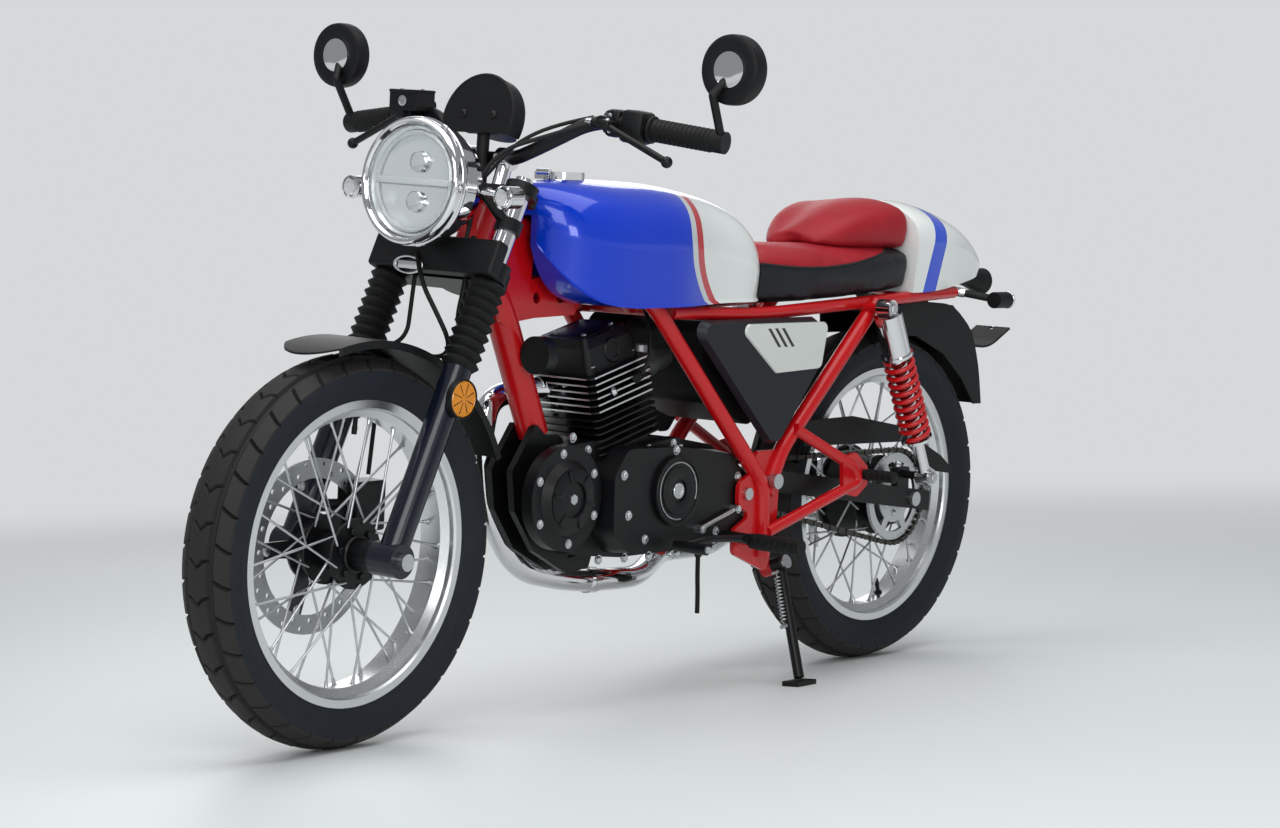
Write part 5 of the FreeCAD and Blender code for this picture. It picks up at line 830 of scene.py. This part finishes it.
bm = bmesh.new()
for i in range(7):
    for side in (1, -1):
        sleeve_rib(bm, 14.2, 2.6, 5.6, 3.6, (496.5, side * (140 + 94 * (i + 0.5) / 7), 265), 24)
for i in range(5):
    for side in (1, -1):
        sleeve_rib(bm, 10.4, 2.4, 5.4, 3.6, (200.3, side * (152 + 12.4 * (i + 0.5)), 362), 20)
        if i < 4:
            x, z = (684, 270) if side > 0 else (668, 255)
            sleeve_rib(bm, 8.4, 2.4, 3.2, 2.2, (x, side * (153 + 8 * (i + 0.5)), z), 20)
close_ends(bm)
settle("peg_sleeves", bm, "chassis", SOFT_RUBBER)

# %% [markdown]
# The handlebar carries a two-piece switch housing and a clamped lever perch on each side.
# Both halves are moulded with rounded edges and held by small screws; the buttons stand
# proud on the rider's side.  The grips are moulded with fine rings and a collar.
# %% Bar controls and grips
bm, screws, knobs, grips = bmesh.new(), bmesh.new(), bmesh.new(), bmesh.new()
for side in (1, -1):
    along = Vector((-0.1656, 0.9797 * side, -0.1136))
    turn = along.to_track_quat("Y", "Z").to_matrix().to_4x4()
    housing = Vector((964.3, 256.1 * side, 947.6)) - along * 20
    block(bm, housing + X * 2, (47, 38, 50), 7.0, turn)
    block(bm, housing - Vector((20, 0, -3)), (12, 30, 30), 3.5, turn)
    for rise in (-11, 2, 14):
        block(knobs, housing + Vector((-27.5, 0, rise)), (6, 11, 8), 1.5, turn)
    perch = Vector((973.7, 200.3 * side, 954.1))
    block(bm, perch - X * 3, (42, 24, 42), 6.0, turn)
    block(bm, perch + Vector((28, 6 * side, -3)), (40, 20, 15), 4.0, turn)
    for rise in (-12, 12):
        hex_bolt(screws, perch + Vector((17.5, 0, rise)), X, 3.2, 2.6, washer=False)
    hex_bolt(screws, perch + Vector((34, 6 * side, 4.5)), Z, 4.6, 3.0)
    if side > 0:
        root = perch + Vector((30, -6, -2))
        drum(bm, root, root - along * 16, 8.6, 8.0)
        drum(screws, root - along * 16, root - along * 27, 6.6, 5.4, sides=12)
    else:
        block(bm, (998.7, -200.3, 988.6), (47, 60, 5), 2.0)
        for y in (-22, 22):
            hex_bolt(screws, (998.7, -200.3 + y, 991), Z, 2.8, 1.6, washer=False)
        lathe(screws, [(8.5, -1), (8.5, 1.4), (6.6, 2.2), (6.0, 1.0), (0, 0.8)], (1020.8, -200.3, 973), X, 24)
    end = Vector((944.7, 372 * side, 934.2))
    for i in range(13):
        lathe(grips, [(16.6, -2.6), (18.0, -1.6), (18.0, 1.6), (16.6, 2.6)], end - along * (12 + 7.6 * i),
              along, 28)
    lathe(grips, [(16.8, -3.5), (21.0, -2.5), (21.6, 0), (21.0, 2.5), (16.8, 3.5)], end - along * 113, along, 32)
settle("bar_housings", bm, "steering", MOULDED_BLACK)
settle("bar_screws", screws, "steering", ZINC_STEEL)
settle("bar_switches", knobs, "steering", CAST_ALLOY)
thicken(grips, 0.6)
settle("grip_rings", grips, "steering", SOFT_RUBBER)

# %% [markdown]
# The hood over the instrument is moulded with a thick lip and held by two button screws.
# The cover between the fork legs has a bare oval plate.
# %% Hood and fork cover details
HOOD = TO_FORK @ shifted((1064.3, 0, 951.2), -15)
bm = bmesh.new()
for y in (-30, 30):
    lathe(bm, [(6.4, 3.6), (6.4, 5.4), (4.4, 7.2), (0, 7.8)], (0, y, 6), X, 20)
settle("hood_screws", bm, "steering", BLACK_PAINT, space=HOOD)
bm = bmesh.new()
hoop(bm, 69.2, 2.6, aligned((2.5, 0, 0), X) @ Matrix.Rotation(radians(-18), 4, "Z"), 216)
block(bm, (-9, 0, -16), (18, 62, 10), 3.0)
settle("hood_lip", bm, "steering", MOULDED_BLACK, space=HOOD)

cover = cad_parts["fork_cover"]
to_cover = TO_FORK.inverted() @ cover.matrix_world
points = [to_cover @ v.co for v in cover.data.vertices]
face_x = max(p.x for p in points)
heights = [p.z for p in points if p.x > face_x - 1]
plate = Vector((face_x, -40, sum(heights) / len(heights)))
bm = bmesh.new()
hoop(bm, 16, 2.0, Matrix.Translation(plate - X * 0.6) @ Matrix.Diagonal((1, 1.7, 0.8, 1))
     @ Matrix.Rotation(radians(90), 4, "Y"))
block(bm, plate, (2.4, 40, 12))
settle("fork_cover_badge", bm, "steering", RIM_ALLOY)

# %% [markdown]
# Round indicators sit on the lamp ears and under the tail.  Each has a bullet body, a clear
# or amber lens with a rim, and a plated stalk root.  A round amber reflector with a black
# rim and eight spokes is screwed to each side of the fork.
# %% Indicators, tail lamp, reflectors
bm, rims, amber, sides, spokes, sleeves = [bmesh.new() for i in range(6)]
for side in (1, -1):
    front, rear = Vector((1180, 155 * side, 836)), Vector((-227.9, 150 * side, 661.3))
    out = Y * side
    lathe(bm, [(15.2, -0.5), (14.4, 2.4), (10, 5.0), (5, 6.4), (0, 6.8)], front, X, 32)
    lathe(rims, [(17.2, -4), (18.2, -2), (18.0, 1.0), (16.0, 2.2), (15.2, 0.2)], front, X, 32)
    lathe(rims, [(16.8, -2), (15.5, 3.0), (11.0, 8.5), (5, 11.5), (0, 12.2)], front - X * 30, -X, 32)
    lathe(amber, [(14.2, -0.5), (13.6, 2.4), (9.5, 5.6), (4, 7.2), (0, 7.6)], rear, -X, 32)
    lathe(sides, [(27.4, -1), (27.6, 1.6), (25.8, 3.0), (24.6, 2.2), (4, 3.0), (0, 3.6)],
          (1222.2, 129.8 * side, 534.5), out, 16)
    for a, spot in circle((1222.2, 132.2 * side, 534.5), 14, steps_of(8, 22.5)):
        block(spokes, spot, (19, 1.6, 1.1), 0.4, Matrix.Rotation(-a, 4, "Y"))
    lathe(spokes, [(27.6, -2), (29.2, -1), (30.4, 1.4), (29.6, 3.2), (27.6, 3.0)],
          (1222.2, 129.6 * side, 534.5), out, 40)
    tip, root = Vector((-200.3, 150 * side, 661.3)), Vector((-154.3, 65 * side, 676.3))
    drum(sleeves, root.lerp(tip, 0.04), root.lerp(tip, 0.34), 9.2, 8.4, sides=24)
    lathe(sleeves, [(14.4, -3), (15.8, -2), (15.8, 1.0), (14.2, 1.6)], rear, -X, 32)
settle("front_indicator_lenses", bm, "steering", CLEAR)
settle("front_indicator_shells", rims, "steering", CHROME)
settle("rear_indicator_lenses", amber, "chassis", AMBER)
settle("amber_side_reflectors", sides, "steering", AMBER, sharp=12)
settle("reflector_spokes_and_rims", spokes, "steering", MOULDED_BLACK)
bm = bmesh.new()
lathe(bm, [(25.0, -1), (24.6, 3.0), (20, 6.4), (10, 8.6), (0, 9.2)], (-363, 0, 685.5), (-53, 0, -6.5), 40)
settle("tail_lamp_lens", bm, "chassis", LAMP_RED)
settle("indicator_sleeves", sleeves, "chassis", CHROME)

# %% [markdown]
# Chain adjusters, shock nuts and the small fixings of the frame are zinc plated.  A real
# mechanic reaches for these, so they are where a spanner would go.
# %% Chassis and fork fixings
bm = bmesh.new()
for side in (1, -1):
    out, rod = Y * side, 95.5 * side
    block(bm, (-6, 103.4 * side, REAR_R), (50, 3.4, 25), 1.2)
    drum(bm, (-28, rod, REAR_R), (-64, rod, REAR_R), 3.2, sides=12)
    drum(bm, (-50, rod, REAR_R), (-56, rod, REAR_R), 6.2, sides=6)
    hex_bolt(bm, (172, 172 * side, 652.9), out, 8.0, 6.5)
    hex_bolt(bm, (25.4, 172 * side, 348.6), out, 8.0, 6.5)
settle("axle_adjusters_and_shock_nuts", bm, "chassis", ZINC_STEEL)
bm = bmesh.new()
front, rear = Vector((356, -167, 208.5)), Vector((-263, -200, 323.5))
for share in (0.19, 0.62, 0.90):
    lathe(bm, [(41.6, -9), (43.2, -8), (43.2, 8), (41.6, 9)], front.lerp(rear, share), rear - front)
thicken(bm, 0.8)
settle("muffler_bands", bm, "chassis", RIM_ALLOY)
bm = bmesh.new()
for dx, dz in ((-17, 20), (17, -20)):
    hex_bolt(bm, (1229.9 + dx, -82.0, 353.9 + dz), -Y, 5.6, 4.6)
for side in (1, -1):
    top = Vector((WHEELBASE, 100 * side, FRONT_R)) + STEER_AXIS * 614.2
    lathe(bm, [(0, -1), (15.5, -1), (15.5, 4.0), (13.5, 6.0), (8, 6.0), (7.0, 4.2), (0, 4.2)], top,
          STEER_AXIS, 32)
settle("caliper_bolts_and_fork_caps", bm, "steering", ZINC_STEEL)
bm = bmesh.new()
for turn in steps_of(6):
    hex_bolt(bm, (868 + 32 * cos(radians(turn)), 32 * sin(radians(turn)), 865.4), Z, 2.4, 1.6, washer=False)
block(bm, (868, 0, 867.6), (13, 24, 3.4), 1.4)
settle("cap_screws", bm, "chassis", ZINC_STEEL)

# %% [markdown]
# Brake hose, clutch cable and loom hang in loose arcs between the bars, the steering head
# and the fork.  They are rubber over braid, 6 to 10 mm thick.
# %% Hoses about the steering head
for name, r, route in (
        ("clutch_cable_arc", 3.2, ((968, 150, 962), (1004, 104, 948), (1052, 68, 918), (1090, 56, 878),
                                   (1120, 46, 846), (1134, 38, 838))),
        ("brake_hose_arc", 3.8, ((1160, -30, 742), (1196, 10, 705), (1200, 52, 655), (1182, 66, 610),
                                 (1170, 40, 585), (1176, -20, 590), (1200, -66, 575), (1215, -78, 520))),
        ("loom_arc", 5.0, ((1110, 40, 770), (1150, 62, 700), (1160, 58, 650), (1132, 40, 632),
                           (1110, 24, 660), (1100, 16, 700)))):
    hose(name, route, r, "steering", SOFT_RUBBER, steps=5)

# %% [markdown]
# The side stand is held up or down by a plated spring.  A coil is drawn as a helix and the
# wire swept along it.
# %% Stand spring
COILS, COIL_STEPS, COIL_R = 13, 8, 5.0
top, foot = Vector((386, 104, 200)), Vector((401, 138, 112))
reach = foot - top
first = reach.orthogonal().normalized()
second = reach.normalized().cross(first)
coil = [top]
for i in range(COILS * COIL_STEPS + 1):
    share, a = 0.08 + 0.84 * i / (COILS * COIL_STEPS), i * 2 * pi / COIL_STEPS
    coil.append(top + reach * share + (first * cos(a) + second * sin(a)) * COIL_R)
hose("stand_spring", coil + [foot], 1.1, "side_stand", ZINC_STEEL, steps=2)
bm = bmesh.new()
for spot in (top, foot):
    drum(bm, spot - Vector((0, 8, 3.2)), spot + Vector((0, 4, 1.6)), 3.2, sides=14)
settle("stand_spring_pins", bm, "side_stand", ZINC_STEEL)

# %% [markdown]
# A short breather hose hangs open below the engine.
# %% Breather hose
places = [TO_BIKE @ Vector(p) for p in ((536, 50, 232), (537, 51, 200), (535, 52, 168), (536, 53, 136))]
line = smooth_line("breather_hose_line", places, 4 * MM, 4)
line.data.materials.append(SOFT_RUBBER)
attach(line, "chassis")
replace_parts(line, "breather_hose")

# %% [markdown]
# The seat is foam under sewn vinyl.  Its solid is smoothed and starts slightly smaller, a
# cloth with a little pressure fills it out, and a cap on how far each point may move keeps
# it close to the cushion that was constructed.  The hump on the cowl is made the same way,
# but smoothed far more, because its solid has a wavy top that real foam would even out.
# %% Padded seat and hump
PRESSURE, LAST_FRAME, FARTHEST = 4.0, 12, 0.006


def reshape(mesh, rounds, push=0.0):
    # smooth a mesh some rounds, then push every point along its normal
    bm = bmesh.new()
    bm.from_mesh(mesh)
    for turn in range(rounds):
        bmesh.ops.smooth_vert(bm, verts=bm.verts[:], factor=0.5,
                              use_axis_x=True, use_axis_y=True, use_axis_z=True)
    bm.normal_update()
    for vert in bm.verts:
        vert.co += vert.normal * push
    bm.to_mesh(mesh)
    bm.free()


def applied(piece):
    # the mesh that the modifiers make, with the modifiers gone
    shape = bpy.data.meshes.new_from_object(piece.evaluated_get(bpy.context.evaluated_depsgraph_get()))
    piece.modifiers.clear()
    piece.data, shape.name = shape, piece.name
    return shape


def cushion(name, node, material, voxel, push, rounds):
    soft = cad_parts[node].copy()
    soft.data = soft.data.copy()
    soft.name = soft.data.name = name
    bpy.context.scene.collection.objects.link(soft)
    soft.data.transform(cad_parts[node].matrix_world)
    soft.matrix_world = Matrix.Identity(4)
    bm = bmesh.new()
    bm.from_mesh(soft.data)
    bmesh.ops.remove_doubles(bm, verts=bm.verts[:], dist=1e-5)
    bmesh.ops.recalc_face_normals(bm, faces=bm.faces[:])
    bm.to_mesh(soft.data)
    bm.free()
    remesh = soft.modifiers.new("skin", "REMESH")
    remesh.mode, remesh.voxel_size = "VOXEL", voxel
    reshape(applied(soft), rounds, push)
    start = [vert.co.copy() for vert in soft.data.vertices]
    cloth = soft.modifiers.new("pressure", "CLOTH")
    cloth.settings.use_pressure, cloth.settings.uniform_pressure_force = True, PRESSURE
    cloth.settings.effector_weights.gravity = 0.0
    cloth.settings.tension_stiffness = cloth.settings.compression_stiffness = 60.0
    cloth.settings.bending_stiffness = 8.0
    cloth.point_cache.frame_start, cloth.point_cache.frame_end = 1, LAST_FRAME
    for number in range(1, LAST_FRAME + 1):
        bpy.context.scene.frame_set(number)
    for vert, was in zip(applied(soft).vertices, start):
        move = vert.co - was
        if move.length > FARTHEST:
            vert.co = was + move.normalized() * FARTHEST
    bpy.context.scene.frame_set(1)
    reshape(soft.data, 1)
    soft.data.materials.clear()
    soft.data.materials.append(material)
    soft.data.shade_smooth()
    round_off = soft.modifiers.new("stitched_skin", "SUBSURF")
    round_off.levels = round_off.render_levels = 1
    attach(soft, "chassis")
    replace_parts(soft, node)
    print(name, len(soft.data.polygons), "faces")
    return soft


seat = cushion("padded_seat", "seat", SEAT_VINYL, 0.006, -0.004, 4)
cushion("padded_hump", "hump_pad", HUMP_VINYL, 0.005, 0.002, 60)

# %% [markdown]
# A cord of black vinyl piping is sewn into the joint of the two seat vinyls.  Its line is
# found on the finished cushion, so that the cord lies half sunk in the surface as it does
# on a sewn cover.
# %% Seat piping
to_plan = TO_BIKE.inverted()
for side, name in ((1, "seat_piping_left"), (-1, "seat_piping_right")):
    route = []
    for x in range(48, 446, 18):
        z = SEAM_Z + SEAM_DIP * (x - SEAM_X) ** 2
        start = TO_BIKE @ Vector((x, side * 220, z))
        towards = (TO_BIKE @ Vector((x, 0, z)) - start).normalized()
        hit, spot, normal, face = seat.ray_cast(start, towards)
        if hit:
            route.append(to_plan @ (spot - towards * 0.3 * MM))
    hose(name, route, 1.9, "chassis", PIPING, steps=3)

# %% [markdown]
# On the right side the rear drum is worked by a rod from the brake pedal, with a clevis and
# a wing nut.  The header is held to the head by a flange with two nuts, and the clutch cover
# has its own rim, an oil filler cap and a level window.
# %% Right side and exhaust fixings
bm = bmesh.new()
drum(bm, (454, -130, 236), (14, -99, 206), 3.2, sides=12)
drum(bm, (22, -72, 250), (22, -99, 250), 7.5)
block(bm, (17, -96, 228), (16, 6, 58), 2.4, Matrix.Rotation(radians(10), 4, "Y"))
drum(bm, (6, -98.5, 205.5), (-8, -97.5, 204.6), 6.5, 5.0, sides=16)
for rise in (-1, 1):
    block(bm, (-3, -98, 205 + rise * 9), (8, 2.4, 12))
hex_bolt(bm, (454, -134, 236), -Y, 5.5, 5.0)
settle("rear_brake_rod", bm, "chassis", ZINC_STEEL)

port = Vector((800, -17, 524))
ahead = (Vector((880, -53, 522)) - port).normalized()
flange = port + ahead * 26
bm = bmesh.new()
lathe(bm, [(19.6, -5), (31, -5), (32, -3.5), (32, 2.5), (31, 4), (19.6, 4)], flange, ahead, 32)
for rise in (-1, 1):
    stud = port + Z * rise * 34
    block(bm, flange + Z * rise * 33, (9, 18, 18), 3.0, Matrix.Rotation(-0.42, 4, "Z"))
    drum(bm, stud + ahead * 8, stud + ahead * 40, 3.4, sides=12)
    hex_bolt(bm, stud + ahead * 30, ahead, 5.6, 6.0)
settle("header_flange", bm, "chassis", ZINC_STEEL)

bm = bmesh.new()
lathe(bm, [(64, -1), (64, 1.6), (62, 3.2), (57, 3.2), (55.4, 1.4), (55, -1)], CLUTCH, -Y, 64)
lathe(bm, [(36, -1), (36, 1.2), (34, 2.6), (14, 4.0), (0, 4.2)], CLUTCH, -Y)
lathe(bm, [(13, -2), (13, 6), (11.6, 8.6), (0, 9.4)], (560, -97.6, 372), -Y, 12)
settle("clutch_cover_rim", bm, "chassis", ENGINE_BLACK)
bm = bmesh.new()
lathe(bm, [(11, -1), (11, 1.6), (9.4, 2.4), (8.6, 1.2), (0, 1.0)], (560, -97.8, 305), -Y, 32)
for a, spot in circle(CLUTCH - Y * 2.8, 59.6, steps_of(6)):
    hex_bolt(bm, spot, -Y, 3.6, 3.0, washer=False)
settle("clutch_cover_screws", bm, "chassis", ZINC_STEEL)

# %% [markdown]
# Each rim has a tyre valve with a cap, opposite the joint of the rim.
# %% Tyre valves
for body, name, turn in (("front_wheel", "front_valve", 96), ("rear_wheel", "rear_valve", 250)):
    bm = bmesh.new()
    out = Vector((cos(radians(turn)), 0, sin(radians(turn))))
    drum(bm, out * 208, out * 188, 3.8, sides=14)
    drum(bm, out * 188, out * 176, 4.6, 4.0, sides=14)
    drum(bm, out * 205, out * 201, 7.0, sides=6)
    settle(name, bm, body, SOFT_RUBBER)

# %% [markdown]
# A pale studio: one wide floor, a large soft lamp overhead and smaller ones at the sides.
# Away from the machine the floor fades into the colour of the backdrop, as a paper roll
# does that is swept up behind the subject, so no horizon shows from any side.
# %% Floor and light
BACKDROP = linear("#d6d8da")
bm = bmesh.new()
bmesh.ops.create_grid(bm, x_segments=1, y_segments=1, size=30.0)
floor_mesh = bpy.data.meshes.new("floor")
bm.to_mesh(floor_mesh)
bm.free()
floor = bpy.data.objects.new("floor", floor_mesh)
bpy.context.scene.collection.objects.link(floor)
floor_material, tree, shader = finish("studio_floor", "#dde2e1", 0.0, 0.5)
x, y, z, at = in_space(tree, Matrix.Identity(4))
far = add(tree, "ShaderNodeMapRange", {"From Min": 1.6, "From Max": 6.5, "Value": formula(tree, apart(x, y))},
          interpolation_type="SMOOTHSTEP")
haze = add(tree, "ShaderNodeEmission", {"Color": BACKDROP, "Strength": 1.0})
blend = add(tree, "ShaderNodeMixShader", {0: far.outputs["Result"], 1: shader.outputs["BSDF"],
                                          2: haze.outputs["Emission"]})
out = next(node for node in tree.nodes if node.type == "OUTPUT_MATERIAL")
tree.links.new(blend.outputs["Shader"], out.inputs["Surface"])
floor_mesh.materials.append(floor_material)

world = bpy.data.worlds.new("studio")
bpy.context.scene.world = world
world.use_nodes = True
tree = world.node_tree
tree.nodes.clear()
rays = add(tree, "ShaderNodeLightPath").outputs
seen = formula(tree, ("MAXIMUM", rays["Is Camera Ray"], rays["Is Transmission Ray"]))
ambient = add(tree, "ShaderNodeBackground", {"Color": linear("#dcdfe3"), "Strength": 0.42})
backdrop = add(tree, "ShaderNodeBackground", {"Color": BACKDROP, "Strength": 1.0})
mix = add(tree, "ShaderNodeMixShader", {0: seen, 1: ambient.outputs["Background"],
                                        2: backdrop.outputs["Background"]})
add(tree, "ShaderNodeOutputWorld", {"Surface": mix.outputs["Shader"]})

for name, place, aim, size, watts in (
        ("overhead", (0.5, 0.5, 3.6), (0, 0, 0.4), (4.5, 3.5), 105),
        ("front_left", (3.5, 2.6, 2.2), (0, 0, 0.5), (2.5, 2.0), 62),
        ("side_left", (2.0, 3.4, 0.9), (0.2, 0, 0.75), (0.9, 0.7), 16),
        ("back_right", (-2.5, -2.8, 2.2), (0, 0, 0.5), (2.5, 2.0), 34)):
    light = bpy.data.lights.new(name, "AREA")
    light.shape, light.energy = "RECTANGLE", watts
    light.size, light.size_y = size
    lamp = bpy.data.objects.new(name, light)
    lamp.location = place
    lamp.rotation_euler = (Vector(aim) - Vector(place)).to_track_quat("-Z", "Y").to_euler()
    bpy.context.scene.collection.objects.link(lamp)
bpy.context.scene.view_settings.view_transform = "Standard"
